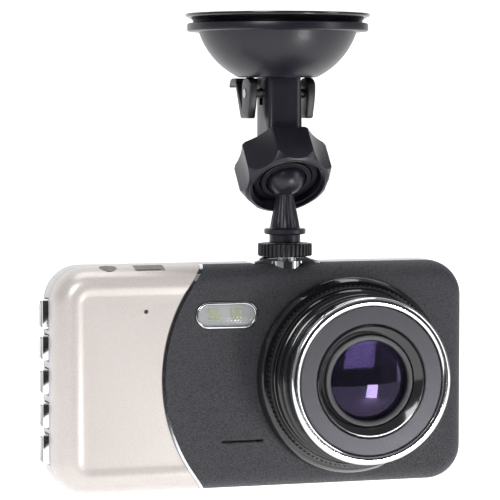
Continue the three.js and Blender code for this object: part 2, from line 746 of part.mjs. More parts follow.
function tripodBoss() {
  const top = BODY_HEIGHT / 2;
  const outline = new THREE.Shape();
  outline.moveTo(-9.5, top - 2);
  outline.lineTo(9.5, top - 2);
  outline.lineTo(9.5, top + 0.3);
  outline.lineTo(6, top + BOSS_HEIGHT);
  outline.lineTo(-6, top + BOSS_HEIGHT);
  outline.lineTo(-9.5, top + 0.3);
  outline.closePath();
  const flare = joined(
    plate(outline, -2.8, 5),
    rod(2.25, top - 2, top + BOSS_HEIGHT, 20).translate(0, -1.7, 0),
  ).translate([STUD_OFFSET, -STUD_FORWARD, 0]);
  const seated = cut(flare, casing(-SEAT / 2));
  const insert = rod(SCREW_RADIUS + BOSS_WALL, top - SCREW_REACH - 1.5, top + 0.5)
    .translate(STUD_OFFSET, -STUD_FORWARD, 0);
  const bore = rod(SCREW_RADIUS + SEAT / 2, top - SCREW_REACH - 0.5, top + BOSS_HEIGHT + PAST)
    .translate(STUD_OFFSET, -STUD_FORWARD, 0);
  return cut(joined(seated, insert), bore);
}

// ---------- lens ----------

const lensPiece = (points, facets = RINGS) => turnedAlongY(points, facets).translate(LENS_X, 0, 0);

const lensFront = front - LENS_REACH;
const flangeFront = front - LENS_FLANGE - SEAT / 2;
const knurlFront = flangeFront - SEAT / 2 - KNURL_WIDTH;
const tubeFront = lensFront + CHROME_WIDTH + SEAT / 2;
const bezelFront = lensFront + 2.1;
const glassBack = bezelFront + 3.2;
const webFront = front - 3.5;

function lensTube() {
  const web = 2;
  const tail = BARREL_TAIL_RADIUS + SEAT;
  const spigot = LENS_TUBE_RADIUS - 2;
  return lensPiece([
    [LENS_TUBE_BORE, cavityFront],
    [LENS_TUBE_BORE, webFront + web],
    [tail, webFront + web],
    [tail, webFront],
    [LENS_TUBE_BORE, webFront],
    [LENS_TUBE_BORE, tubeFront],
    [CHROME_RADIUS, tubeFront],
    [CHROME_RADIUS, knurlFront - SEAT / 2],
    [LENS_TUBE_RADIUS, knurlFront - SEAT / 2],
    [LENS_TUBE_RADIUS, front - SEAT / 2],
    [spigot, front - SEAT / 2],
    [spigot, cavityFront],
  ]);
}

function lensFlange() {
  return lensPiece([
    [LENS_TUBE_RADIUS + SEAT, flangeFront],
    [LENS_FLANGE_RADIUS - 1, flangeFront],
    [LENS_FLANGE_RADIUS, flangeFront + 1],
    [LENS_FLANGE_RADIUS, front - SEAT / 2],
    [LENS_TUBE_RADIUS + SEAT, front - SEAT / 2],
  ]);
}

function knurledRing() {
  const outline = new THREE.Shape();
  for (let tooth = 0; tooth < KNURL_TEETH; tooth += 1) {
    const start = (tooth * 2 * Math.PI) / KNURL_TEETH;
    const middle = start + Math.PI / KNURL_TEETH;
    const valley = KNURL_RADIUS - 0.5;
    if (tooth === 0) outline.moveTo(valley, 0);
    else outline.lineTo(valley * Math.cos(start), valley * Math.sin(start));
    outline.lineTo(KNURL_RADIUS * Math.cos(middle), KNURL_RADIUS * Math.sin(middle));
  }
  outline.closePath();
  const bore = new THREE.Path();
  bore.absarc(0, 0, LENS_TUBE_RADIUS + SEAT, 0, 2 * Math.PI, true);
  outline.holes.push(bore);
  return plate(outline, knurlFront, knurlFront + KNURL_WIDTH, { curveSegments: 24 })
    .translate(LENS_X, 0, 0);
}

function chromeRing() {
  return lensPiece([
    [CHROME_BORE, lensFront + CHROME_WIDTH],
    [CHROME_BORE, lensFront + 0.5],
    [CHROME_BORE + 0.6, lensFront],
    [CHROME_RADIUS - 0.6, lensFront],
    [CHROME_RADIUS, lensFront + 0.6],
    [CHROME_RADIUS, lensFront + CHROME_WIDTH],
  ]);
}

function faceRing() {
  const plane = lensFront + 0.5;
  const outer = CHROME_BORE - SEAT;
  return lensPiece([
    [FACE_BORE, plane + 3],
    [FACE_BORE, plane],
    [outer, plane],
    [outer, plane + 3],
  ]);
}

function innerCone() {
  const plane = lensFront + 0.5;
  const outer = FACE_BORE - SEAT;
  return lensPiece([
    [BEZEL_RADIUS + SEAT, bezelFront + 2],
    [BEZEL_RADIUS + SEAT, bezelFront],
    [outer - 0.6, plane],
    [outer, plane],
    [outer, bezelFront + 2],
  ]);
}

function lensBezel() {
  return lensPiece([
    [GLASS_RADIUS + SEAT / 2, glassBack - 1],
    [GLASS_RADIUS + SEAT / 2, bezelFront + 0.2],
    [GLASS_RADIUS + 0.5, bezelFront],
    [BEZEL_RADIUS, bezelFront],
    [BEZEL_RADIUS, glassBack - 1],
  ]);
}

// A lens element: a convex front and a flat back, ground to a rim.
function element(radius, crown, rim, yFront) {
  const points = [[0, yFront + crown + rim], [0, yFront]];
  for (const share of [0.25, 0.5, 0.75, 1]) {
    points.push([radius * share, yFront + crown * share * share]);
  }
  points.push([radius, yFront + crown + rim]);
  return lensPiece(points, 32);
}

function lensBarrel() {
  const shoulder = webFront - SEAT;
  const tailBack = cavityFront + 1;
  const front1 = glassBack + SEAT;
  return lensPiece([
    [BARREL_TAIL_RADIUS - 1.4, tailBack],
    [BARREL_TAIL_RADIUS - 1.4, shoulder - 1.5],
    [GLASS_RADIUS - 1.4, shoulder - 1.5],
    [GLASS_RADIUS - 1.4, front1],
    [BEZEL_RADIUS, front1],
    [BEZEL_RADIUS, shoulder],
    [BARREL_TAIL_RADIUS, shoulder],
    [BARREL_TAIL_RADIUS, tailBack],
  ]);
}

function lensHolder() {
  const yFront = webFront + 2 + SEAT;
  const yBack = cavityFront + 2.2;
  return lensPiece([
    [BARREL_TAIL_RADIUS + SEAT, yBack],
    [BARREL_TAIL_RADIUS + SEAT, yFront],
    [BARREL_TAIL_RADIUS + 2, yFront],
    [BARREL_TAIL_RADIUS + 2, yBack - 1.5],
    [BARREL_TAIL_RADIUS + 4, yBack - 1.5],
    [BARREL_TAIL_RADIUS + 4, yBack],
  ]);
}

// ---------- lamp, sound and electronics ----------

const lampPlate = (width, height, yFront, yBack) =>
  plate(stadium(width, height), yFront, yBack).translate(LAMP.x, 0, LAMP.z);

function lampBezel() {
  const bore = 2 * LAMP.rim;
  return cut(
    lampPlate(LAMP.width, LAMP.height, front - 0.4, cavityFront),
    lampPlate(LAMP.width - bore, LAMP.height - bore, front - PAST, cavityFront + PAST),
  );
}

function lampWindow() {
  const less = 2 * (LAMP.rim + SEAT / 2);
  return lampPlate(LAMP.width - less, LAMP.height - less, front - 0.2, front + 1.4);
}

function lampLed(side) {
  const x = LAMP.x + (side * LED_SPACING) / 2;
  const half = LED_SIZE / 2;
  return block(x - half, x + half, cavityFront - 0.7, cavityFront + 0.1, LAMP.z - half, LAMP.z + half);
}

function lampBoard() {
  return lampPlate(LAMP.width + 1, LAMP.height + 1, cavityFront + 0.3, cavityFront + 1.3);
}

function speaker() {
  return rodAlongY(
    SPEAKER_RADIUS, cavityFront + SEAT, cavityFront + 3.2, SPEAKER_SLOT.x, SPEAKER_SLOT.z, 32,
  );
}

function microphone() {
  return rodAlongY(
    MICROPHONE.radius, cavityFront + SEAT, cavityFront + 2.4, MICROPHONE.x, MICROPHONE.z, 20,
  );
}

function usbSocket() {
  const top = BODY_HEIGHT / 2 - 1.2;
  const outer = block(
    USB.x - USB.width / 2, USB.x + USB.width / 2,
    SOCKETS_Y - USB.depth / 2, SOCKETS_Y + USB.depth / 2,
    top - USB.length, top,
  );
  const inner = block(
    USB.x - USB.width / 2 + USB.wall, USB.x + USB.width / 2 - USB.wall,
    SOCKETS_Y - USB.depth / 2 + USB.wall, SOCKETS_Y + USB.depth / 2 - USB.wall,
    top - USB.length + 1.5, top + PAST,
  );
  const tongue = block(USB.x - 2.6, USB.x + 2.6, SOCKETS_Y - 0.4, SOCKETS_Y + 0.4, top - USB.length + 1, top - 1);
  return joined(cut(outer, inner), tongue);
}

function avJack() {
  const top = BODY_HEIGHT / 2 - JACK.drop;
  const housing = block(
    JACK.x - JACK.width / 2, JACK.x + JACK.width / 2,
    SOCKETS_Y - JACK.depth / 2, SOCKETS_Y + JACK.depth / 2,
    top - JACK.length, top,
  );
  const collar = rod(JACK.mouth - SEAT, top - PAST, BODY_HEIGHT / 2 - 1.4).translate(JACK.x, SOCKETS_Y, 0);
  const bore = rod(JACK.hole, top - JACK.length + 2, BODY_HEIGHT / 2, 16).translate(JACK.x, SOCKETS_Y, 0);
  return cut(joined(housing, collar), bore);
}

function cardSocket() {
  const low = -BODY_HEIGHT / 2 + BODY_WALL + SEAT;
  const y1 = BOARD_FRONT - SEAT / 2;
  const y0 = y1 - CARD.thickness;
  const shell = block(CARD.x - CARD.width / 2, CARD.x + CARD.width / 2, y0, y1, low, low + CARD.length);
  const mouth = block(
    CARD.x - CARD.width / 2 + 1, CARD.x + CARD.width / 2 - 1,
    y0 + 0.3, y1 - 0.3,
    low - PAST, low + CARD.length - 1,
  );
  return cut(shell, mouth);
}

function mainBoard() {
  const x = 48;
  const z = 26;
  const notchX = 3;
  const notchZ = 4;
  const outline = new THREE.Shape();
  outline.moveTo(-x + notchX, -z);
  outline.lineTo(x - notchX, -z);
  outline.lineTo(x - notchX, -z + notchZ);
  outline.lineTo(x, -z + notchZ);
  outline.lineTo(x, z - notchZ);
  outline.lineTo(x - notchX, z - notchZ);
  outline.lineTo(x - notchX, z);
  outline.lineTo(-x + notchX, z);
  outline.lineTo(-x + notchX, z - notchZ);
  outline.lineTo(keyBoardX + 0.8, z - notchZ);
  outline.lineTo(keyBoardX + 0.8, -z + notchZ);
  outline.lineTo(-x + notchX, -z + notchZ);
  outline.closePath();
  return cut(plate(outline, BOARD_FRONT, boardBack), bossHole());
}

function lcdModule() {
  const y1 = rearSeam + SEAT / 2;
  return block(-LCD.width / 2, LCD.width / 2, y1 - LCD.thickness, y1, -LCD.height / 2, LCD.height / 2);
}

function screenGlass() {
  const outline = roundedRectangle(SCREEN_GLASS.width, SCREEN_GLASS.height, SCREEN_GLASS.corner);
  return plate(outline, back - SCREEN_GLASS.thickness, back);
}

function battery() {
  return block(-46, -14, cavityFront + 0.3, BOARD_FRONT - 0.3, -24, 9);
}

function imageSensor() {
  const y0 = cavityFront + 2.2;
  return block(LENS_X - 4, LENS_X + 4, y0 - 0.9, y0 + 0.1, -3, 3);
}

// The sensor's board, with the connector that plugs it onto the main board.
function sensorBoard() {
  const y0 = cavityFront + 2.4;
  const thickness = 1;
  return joined(
    block(LENS_X - 12, LENS_X + 12, y0, y0 + thickness, -12, 12),
    block(LENS_X - 8, LENS_X + 8, y0 + thickness / 2, BOARD_FRONT - SEAT, -11, -7),
  );
}

// ---------- side keys ----------

function keyCap({ z, height }) {
  const halfY = KEY_DEPTH / 2;
  const halfZ = height / 2;
  const cap = block(keyFaceX, keyFlangeBack, KEY_Y - halfY, KEY_Y + halfY, z - halfZ, z + halfZ);
  const flange = block(
    keyInnerX, keyFlangeBack,
    KEY_Y - halfY, KEY_Y + halfY,
    z - halfZ - KEY_FLANGE, z + halfZ + KEY_FLANGE,
  );
  const pocket = block(
    keyFaceX - PAST, keyFaceX + KEY_POCKET,
    KEY_Y - halfY + KEY_BORDER, KEY_Y + halfY - KEY_BORDER,
    z - halfZ + KEY_END_BORDER, z + halfZ - KEY_END_BORDER,
  );
  return cut(joined(cap, flange), pocket);
}

function keyInlay({ z, height }) {
  const halfY = KEY_DEPTH / 2 - KEY_BORDER - SEAT / 2;
  const halfZ = height / 2 - KEY_END_BORDER - SEAT / 2;
  return block(
    keyFaceX, keyFaceX + KEY_INLAY,
    KEY_Y - halfY, KEY_Y + halfY,
    z - halfZ, z + halfZ,
  );
}

function keyBoard() {
  const halfY = KEY_DEPTH / 2;
  const length = 2 * KEY_PITCH + 4;
  const strip = block(
    keyBoardX, keyBoardX + 1,
    boardBack + SEAT, KEY_Y + halfY,
    KEY_MIDDLE_Z - length, KEY_MIDDLE_Z + length,
  );
  const switches = keyPlaces().flatMap(({ z }) => [
    block(switchTipX + 0.6, keyBoardX + 0.1, KEY_Y - 1.6, KEY_Y + 1.6, z - 1.8, z + 1.8),
    block(switchTipX, switchTipX + 0.7, KEY_Y - 0.8, KEY_Y + 0.8, z - 0.8, z + 0.8),
  ]);
  return joined(strip, ...switches);
}

// ---------- cover screws ----------

function coverScrew(sideOfX, sideOfZ) {
  const head = back - 0.2;
  const tip = cavityFront + 2;
  return turnedAlongY([
    [0, head],
    [0, tip],
    [SCREW_POST.thread, tip],
    [SCREW_POST.thread, head - 1],
    [SCREW_POST.head, head - 1],
    [SCREW_POST.head, head],
  ], 16).translate(sideOfX * SCREW_POST.x, 0, sideOfZ * SCREW_POST.z);
}

// ---------- assembly ----------

place(group, "suction_cup", "rubber", suctionCup());
place(group, "dome_housing", "mountPlastic", domeHousing());
place(group, "mount_arm", "mountPlastic", mountArm());
place(group, "pull_rod", "satinBlack", pullRod());
place(group, "lever_pin", "steel", leverPin());
place(group, "lock_lever", "mountPlastic", lockLever());
place(group, "clamp_nut", "mountPlastic", clampNut());
place(group, "ball_seat", "satinBlack", ballSeat());
place(group, "ball_stud", "mountPlastic", ballStud());
place(group, "stud_screw", "steel", studScrew());
place(group, "thumb_nut", "satinBlack", thumbNut());

const camera = new THREE.Group();
camera.position.set(-STUD_OFFSET, STUD_FORWARD - BALL_FORWARD, bodyTop - BODY_HEIGHT / 2);
group.add(camera);

place(camera, "front_shell", "champagne", frontShell());
place(camera, "leather_panel", "leather", leatherPanel());
place(camera, "panel_trim", "chrome", panelTrim());
place(camera, "mid_frame", "silverPlastic", midFrame());
place(camera, "rear_cover", "champagne", rearCover());
place(camera, "tripod_boss", "chrome", tripodBoss());
place(camera, "screen_glass", "glossBlack", screenGlass());
place(camera, "lcd_module", "graphite", lcdModule());

place(camera, "lens_tube", "glossBlack", lensTube());
place(camera, "lens_flange", "glossBlack", lensFlange());
place(camera, "knurled_ring", "satinBlack", knurledRing());
place(camera, "lens_chrome_ring", "chrome", chromeRing());
place(camera, "lens_face_ring", "graphite", faceRing());
place(camera, "lens_inner_cone", "glossBlack", innerCone());
place(camera, "lens_bezel", "satinBlack", lensBezel());
place(camera, "lens_front_glass", "glass", element(GLASS_RADIUS, 1.6, 1.4, bezelFront + 0.2));
place(camera, "lens_barrel", "satinBlack", lensBarrel());
place(camera, "lens_middle_glass", "glass", element(GLASS_RADIUS - 1.7, 1.2, 1.6, glassBack + 1.2));
place(camera, "lens_rear_glass", "glass", element(BARREL_TAIL_RADIUS - 1.6, 0.8, 1.2, front - 1));
place(camera, "lens_holder", "satinBlack", lensHolder());
place(camera, "image_sensor", "glossBlack", imageSensor());
place(camera, "sensor_board", "board", sensorBoard());

place(camera, "lamp_bezel", "chrome", lampBezel());
place(camera, "lamp_window", "clearPlastic", lampWindow());
place(camera, "lamp_led_left", "led", lampLed(-1));
place(camera, "lamp_led_right", "led", lampLed(1));
place(camera, "lamp_board", "board", lampBoard());

place(camera, "main_board", "board", mainBoard());
place(camera, "battery", "cell", battery());
place(camera, "speaker", "satinBlack", speaker());
place(camera, "microphone", "tin", microphone());
place(camera, "usb_socket", "tin", usbSocket());
place(camera, "av_jack", "satinBlack", avJack());
place(camera, "card_socket", "tin", cardSocket());
place(camera, "key_board", "board", keyBoard());

for (const where of keyPlaces()) {
  place(camera, `key_${where.name}`, "chrome", keyCap(where));
  place(camera, `key_inlay_${where.name}`, "glossBlack", keyInlay(where));
}

for (const [name, sideOfX, sideOfZ] of [
  ["top_left", -1, 1],
  ["top_right", 1, 1],
  ["bottom_left", -1, -1],
  ["bottom_right", 1, -1],
]) {
  place(camera, `cover_screw_${name}`, "steel", coverScrew(sideOfX, sideOfZ));
}

export default group;
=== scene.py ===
import json
import math
from functools import partial

import bpy
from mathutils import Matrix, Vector

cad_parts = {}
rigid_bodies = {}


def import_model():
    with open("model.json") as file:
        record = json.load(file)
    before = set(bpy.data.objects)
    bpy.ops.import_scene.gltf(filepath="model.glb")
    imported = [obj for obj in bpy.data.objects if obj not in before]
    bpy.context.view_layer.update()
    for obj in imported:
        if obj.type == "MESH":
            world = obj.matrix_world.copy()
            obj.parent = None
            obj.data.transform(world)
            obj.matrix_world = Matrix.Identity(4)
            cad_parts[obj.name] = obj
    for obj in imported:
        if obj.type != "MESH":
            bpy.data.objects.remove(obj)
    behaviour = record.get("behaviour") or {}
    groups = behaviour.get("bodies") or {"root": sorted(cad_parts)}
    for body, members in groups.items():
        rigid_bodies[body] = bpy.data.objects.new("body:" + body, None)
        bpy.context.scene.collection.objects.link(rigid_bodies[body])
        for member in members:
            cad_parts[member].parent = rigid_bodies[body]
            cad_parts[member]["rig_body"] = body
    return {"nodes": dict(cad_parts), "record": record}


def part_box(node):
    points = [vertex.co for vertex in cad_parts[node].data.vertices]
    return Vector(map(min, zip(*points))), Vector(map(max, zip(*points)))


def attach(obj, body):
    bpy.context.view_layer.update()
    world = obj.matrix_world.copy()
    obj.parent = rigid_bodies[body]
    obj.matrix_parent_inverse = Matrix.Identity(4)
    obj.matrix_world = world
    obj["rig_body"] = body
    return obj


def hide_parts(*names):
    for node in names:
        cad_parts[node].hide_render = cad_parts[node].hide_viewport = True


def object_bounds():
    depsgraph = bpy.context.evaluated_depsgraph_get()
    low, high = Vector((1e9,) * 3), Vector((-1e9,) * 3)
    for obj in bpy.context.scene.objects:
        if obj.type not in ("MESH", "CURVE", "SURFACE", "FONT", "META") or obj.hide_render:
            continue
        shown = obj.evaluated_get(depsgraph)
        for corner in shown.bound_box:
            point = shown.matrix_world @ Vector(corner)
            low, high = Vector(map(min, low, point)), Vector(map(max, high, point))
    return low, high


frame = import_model()
cad_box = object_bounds()

MM = 0.001
FULL_TURN = 2 * math.pi
FINE = 96  # steps round a turned piece
SAME = 1e-6  # metres: coordinates nearer than this count as equal
WELD = 2e-6  # metres: points nearer than this are merged

# ---------- sizes in millimetres ----------

# casing: measured from its middle, with y growing to the back
CASE_FRONT = -8.5
CASE_BACK = 8.5
CASE_CORNER = 9.5
SHOULDER_DEPTH = 7.5
SHOULDER_INSET = 5.0
HEEL = 2.4
FRONT_SEAM = -1.3
REAR_SEAM = 6.1
SEAM_GAP = 0.2
DISH_DEPTH = 0.34
PANEL_SKIN = 0.8
ARC_RADIUS = 43.5
ARC_LEFT = -27.7
TRIM = 0.7
STUD_X = 7.25
STUD_Y = -1.6

LAMP = {"x": -11.0, "z": 16.8, "width": 16.9, "height": 7.0}
SLOT = {"x": -6.7, "z": -16.9, "width": 11.7, "height": 0.8}
MICROPHONE = {"x": -32.8, "z": 18.2, "radius": 0.6}
USB = {"x": -31.0, "width": 8.1, "depth": 4.3}
JACK = {"x": -42.0, "radius": 2.3}
CARD = {"x": 8.0, "width": 14.0}
SOCKETS_Y = -3.7
SCREEN = {"width": 95.0, "height": 52.4, "corner": 2.5, "thick": 1.2}
VIEW = {"width": 90.0, "height": 50.4}
POSTS = {"x": 50.3, "z": 24.9}
STUD_ROOM = 4.85
LENS_ROOM = 21.4
KEY_Y = 2.9
KEY_HALF_DEPTH = 2.3
KEY_PITCH = 8.9
KEY_MIDDLE = -0.4
KEY_HEIGHTS = {"power": 7.9, "menu": 6.8, "up": 6.8, "ok": 6.8, "down": 7.9}

# lens: radius and y from the casing's middle
LENS_FRONT = -26.5
FLANGE_FRONT = -12.1
KNURL_FRONT = -14.3
BEZEL_FRONT = -24.4

# mount
DOME_FLOOR = -17.1
PIN_LEVEL = -21.4
BALL_Y = -6.5
BALL_Z = -43.3
BALL_RADIUS = 5.5
SOCKET_TILT = 42.0
NUT_CORNER = 12.7
NUT_FRONT = -3.66
NUT_BACK = 7.3
STUD_FOOT = -57.4
COLLAR_LEVEL = -61.2
THUMB_FLOOR = -64.8

# ---------- places ----------

shell_low, shell_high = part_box("front_shell")
case_middle = Vector((
    (shell_low.x + shell_high.x) / 2,
    shell_low.y - CASE_FRONT * MM,
    (shell_low.z + shell_high.z) / 2,
))
case_width = (shell_high.x - shell_low.x) / MM
case_height = (shell_high.z - shell_low.z) / MM
lens_low, lens_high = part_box("lens_flange")
lens_x = ((lens_low.x + lens_high.x) / 2 - case_middle.x) / MM
ball_centre = Vector((0, BALL_Y * MM, BALL_Z * MM))


def case(x, y, z):
    """A point of the casing, in metres, from millimetres off its middle."""
    return case_middle + Vector((x, y, z)) * MM


# ---------- ways of modelling ----------


def clear():
    bpy.ops.object.select_all(action="DESELECT")


def only(piece):
    clear()
    piece.select_set(True)
    bpy.context.view_layer.objects.active = piece


def open_mesh(piece, kind="VERT", picked="SELECT"):
    """Opens the mesh for editing, with all or none of it picked."""
    only(piece)
    bpy.ops.object.mode_set(mode="EDIT")
    bpy.ops.mesh.select_mode(type=kind)
    bpy.ops.mesh.select_all(action=picked)


def close_mesh():
    bpy.ops.object.mode_set(mode="OBJECT")


def pick_faces(piece, wanted):
    """Leaves the mesh open with the faces selected whose centre and normal are wanted."""
    open_mesh(piece, "FACE", "DESELECT")
    close_mesh()
    for face in piece.data.polygons:
        face.select = wanted(face.center, face.normal)
    bpy.ops.object.mode_set(mode="EDIT")


def pick_edges(piece, wanted):
    """Leaves the mesh open with the edges selected whose two ends are wanted."""
    open_mesh(piece, "EDGE", "DESELECT")
    close_mesh()
    points = piece.data.vertices
    for edge in piece.data.edges:
        edge.select = wanted(points[edge.vertices[0]].co, points[edge.vertices[1]].co)
    bpy.ops.object.mode_set(mode="EDIT")


def runs_along(axis):
    """A test for the edges that run along one axis."""
    across = [index for index in range(3) if "XYZ"[index] != axis]
    return lambda a, b: all(abs(a[index] - b[index]) < SAME for index in across)


def bevel_picked(width, segments):
    """Rounds the picked edges by so many millimetres, and closes the mesh."""
    bpy.ops.mesh.bevel(offset=width * MM, segments=segments, affect="EDGES")
    close_mesh()


def settle(piece):
    """Puts a piece's place into its mesh."""
    only(piece)
    bpy.ops.object.transform_apply(location=True, rotation=True, scale=True)


def tidy(piece):
    open_mesh(piece)
    bpy.ops.mesh.remove_doubles(threshold=WELD)
    bpy.ops.mesh.normals_make_consistent(inside=False)
    close_mesh()


def drawn_line(name, points):
    """A chain of points, drawn by extruding the first one from place to place."""
    clear()
    bpy.ops.mesh.primitive_plane_add(size=MM, location=points[0])
    piece = bpy.context.object
    piece.name = name
    open_mesh(piece)
    bpy.ops.mesh.merge(type="CENTER")
    for here, there in zip(points, points[1:]):
        bpy.ops.mesh.extrude_vertices_move(
            TRANSFORM_OT_translate={"value": Vector(there) - Vector(here)}
        )
    close_mesh()
    return piece


def turned(name, profile, middle, axis="Z", steps=FINE):
    """A profile of [radius, level] in millimetres, spun round an axis through middle."""
    if axis == "Z":
        points = [Vector((middle[0] + r * MM, middle[1], level * MM)) for r, level in profile]
        direction = (0, 0, 1)
    else:
        points = [
            Vector((middle[0] + r * MM, case_middle.y + level * MM, middle[2])) for r, level in profile
        ]
        direction = (0, 1, 0)
    closed = profile[0][0] > 0 or profile[-1][0] > 0
    piece = drawn_line(name, points + points[:1] if closed else points)
    open_mesh(piece)
    bpy.ops.mesh.remove_doubles(threshold=WELD)
    bpy.ops.mesh.spin(steps=steps, angle=FULL_TURN, center=middle, axis=direction)
    close_mesh()
    tidy(piece)
    settle(piece)
    return piece


def outlined(name, points, along):
    """A flat outline, filled and extruded."""
    piece = drawn_line(name, points)
    open_mesh(piece)
    bpy.ops.mesh.edge_face_add()
    bpy.ops.mesh.extrude_region_move(TRANSFORM_OT_translate={"value": Vector(along)})
    close_mesh()
    tidy(piece)
    settle(piece)
    return piece


def block(name, low, high):
    """A box between two corners, as the start of a piece."""
    low, high = Vector(low), Vector(high)
    clear()
    bpy.ops.mesh.primitive_cube_add(size=1, location=(low + high) / 2, scale=high - low)
    piece = bpy.context.object
    piece.name = name
    settle(piece)
    return piece


def rod(name, radius, start, end, steps=32):
    """A cutter: a straight round bar between two points along an axis."""
    start, end = Vector(start), Vector(end)
    direction = end - start
    clear()
    bpy.ops.mesh.primitive_cylinder_add(
        vertices=steps, radius=radius * MM, depth=direction.length, location=(start + end) / 2,
        rotation=direction.to_track_quat("Z", "Y").to_euler(),
    )
    piece = bpy.context.object
    piece.name = name
    settle(piece)
    return piece


def boolean(piece, other, operation="DIFFERENCE"):
    """Cuts, joins or keeps the common part of two solids; the second one is used up."""
    only(piece)
    step = piece.modifiers.new("shape", "BOOLEAN")
    step.operation = operation
    step.solver = "EXACT"
    step.object = other
    bpy.ops.object.modifier_apply(modifier=step.name)
    bpy.data.objects.remove(other)
    return piece


def soften(piece, width, segments=2, angle=35):
    """Rounds the sharp edges by so many millimetres."""
    only(piece)
    step = piece.modifiers.new("edges", "BEVEL")
    step.width = width * MM
    step.segments = segments
    step.limit_method = "ANGLE"
    step.angle_limit = math.radians(angle)
    bpy.ops.object.modifier_apply(modifier=step.name)
    return piece


def copied(piece, name):
    only(piece)
    bpy.ops.object.duplicate(linked=False)
    twin = bpy.context.object
    twin.name = name
    return twin


def joined(piece, *others):
    clear()
    for other in others:
        other.select_set(True)
    piece.select_set(True)
    bpy.context.view_layer.objects.active = piece
    bpy.ops.object.join()
    return piece


def ring_of(piece, count, middle, axis):
    """The piece repeated evenly round an axis, as one mesh."""
    copies = []
    for index in range(1, count):
        twin = copied(piece, f"{piece.name}.{index}")
        bpy.ops.transform.rotate(
            value=index * FULL_TURN / count, orient_axis=axis, center_override=middle,
        )
        settle(twin)
        copies.append(twin)
    return joined(piece, *copies)


def onto_socket(piece):
    """Tips a piece made upright round the ball onto the socket's axis, mouth forward and down."""
    only(piece)
    bpy.ops.transform.rotate(
        value=math.radians(SOCKET_TILT), orient_axis="X", center_override=ball_centre,
    )
    settle(piece)
    return piece


def arc(middle, radius, start, end, steps):
    """Points [a, b] along an arc, by angles in degrees."""
    points = []
    for step in range(steps + 1):
        angle = math.radians(start + (end - start) * step / steps)
        points.append([middle[0] + radius * math.cos(angle), middle[1] + radius * math.sin(angle)])
    return points


def curve(start, pull, end, steps):
    """Points after start along a curve pulled to one side."""
    points = []
    for step in range(1, steps + 1):
        t = step / steps
        points.append([
            (1 - t) ** 2 * start[i] + 2 * t * (1 - t) * pull[i] + t * t * end[i] for i in range(2)
        ])
    return points


def stadium(place, grow=0.0):
    """Outline [x, z] of a slot with round ends."""
    radius = place["height"] / 2 + grow
    reach = place["width"] / 2 + grow - radius
    x, z = place["x"], place["z"]
    return arc((x + reach, z), radius, -90, 90, 16) + arc((x - reach, z), radius, 90, 270, 16)


def rounded_rectangle(width, height, corner):
    x, z = width / 2 - corner, height / 2 - corner
    return (
        arc((x, -z), corner, -90, 0, 8) + arc((x, z), corner, 0, 90, 8)
        + arc((-x, z), corner, 90, 180, 8) + arc((-x, -z), corner, 180, 270, 8)
    )


def case_plate(name, outline, y_front, y_back):
    """An outline [x, z] of the casing, given depth."""
    points = [case(x, y_front, z) for x, z in outline]
    return outlined(name, points, (0, (y_back - y_front) * MM, 0))


def sliced(piece, y, keep):
    """Cuts the piece flat at a depth of the casing, and keeps its front or its back."""
    open_mesh(piece)
    bpy.ops.mesh.bisect(
        plane_co=case(0, y, 0), plane_no=(0, 1, 0), use_fill=True,
        clear_outer=keep == "front", clear_inner=keep == "back",
    )
    close_mesh()
    return piece


# ---------- materials ----------


def linear(hex_colour):
    """An sRGB hex colour as linear RGBA."""
    channels = [int(hex_colour[i : i + 2], 16) / 255 for i in (1, 3, 5)]
    return [c / 12.92 if c <= 0.04045 else ((c + 0.055) / 1.055) ** 2.4 for c in channels] + [1]


def material_of(recipe):
    """A new material, named after its recipe, which adds the nodes and returns the shader."""
    material = bpy.data.materials.new(recipe.__name__)
    material.use_nodes = True
    material.node_tree.nodes.clear()
    node = partial(add_node, material.node_tree)
    place = node("TexCoord").outputs["Object"]
    node("OutputMaterial", Surface=recipe(node, place))
    return material


def add_node(tree, kind, settings=None, **links):
    """Adds a shader node: settings are its properties and socket values, links its inputs by name."""
    made = tree.nodes.new("ShaderNode" + kind)
    for key, value in (settings or {}).items():
        if key in made.inputs:
            made.inputs[key].default_value = linear(value) if isinstance(value, str) else value
        else:
            setattr(made, key, value)
    for key, source in links.items():
        output = source.outputs[0] if isinstance(source, bpy.types.Node) else source
        tree.links.new(output, made.inputs[key.replace("_", " ")])
    return made


def moulded_nylon(node, place):
    # Glass-filled nylon with a spark-eroded grain: near-black violet grey, with highlights that sparkle.
    grain = node("TexNoise", {"Scale": 1 / (0.45 * MM), "Detail": 4, "Roughness": 0.6}, Vector=place)
    flow = node("TexNoise", {"Scale": 1 / (9 * MM), "Detail": 2}, Vector=place)
    colour = node("MixRGB", {"Color1": "#17161D", "Color2": "#211F29"}, Fac=flow)
    gloss = node("MapRange", {"To Min": 0.2, "To Max": 0.44}, Value=grain)
    texture = node("Bump", {"Strength": 0.8, "Distance": 0.02 * MM}, Height=grain)
    return node(
        "BsdfPrincipled", {"Specular IOR Level": 0.36},
        Base_Color=colour, Roughness=gloss, Normal=texture,
    )


def polished_vinyl(node, place):
    # Soft PVC from a polished mould: near black, wet-looking, with slow ripples where it is squeezed.
    ripple = node("TexNoise", {"Scale": 1 / (4 * MM), "Detail": 2}, Vector=place)
    haze = node("TexNoise", {"Scale": 1 / (1.2 * MM)}, Vector=place)
    colour = node("MixRGB", {"Color1": "#08080A", "Color2": "#131316"}, Fac=ripple)
    gloss = node("MapRange", {"To Min": 0.1, "To Max": 0.24}, Value=haze)
    waves = node("Bump", {"Strength": 0.5, "Distance": 0.05 * MM}, Height=ripple)
    return node("BsdfPrincipled", {"IOR": 1.53}, Base_Color=colour, Roughness=gloss, Normal=waves)


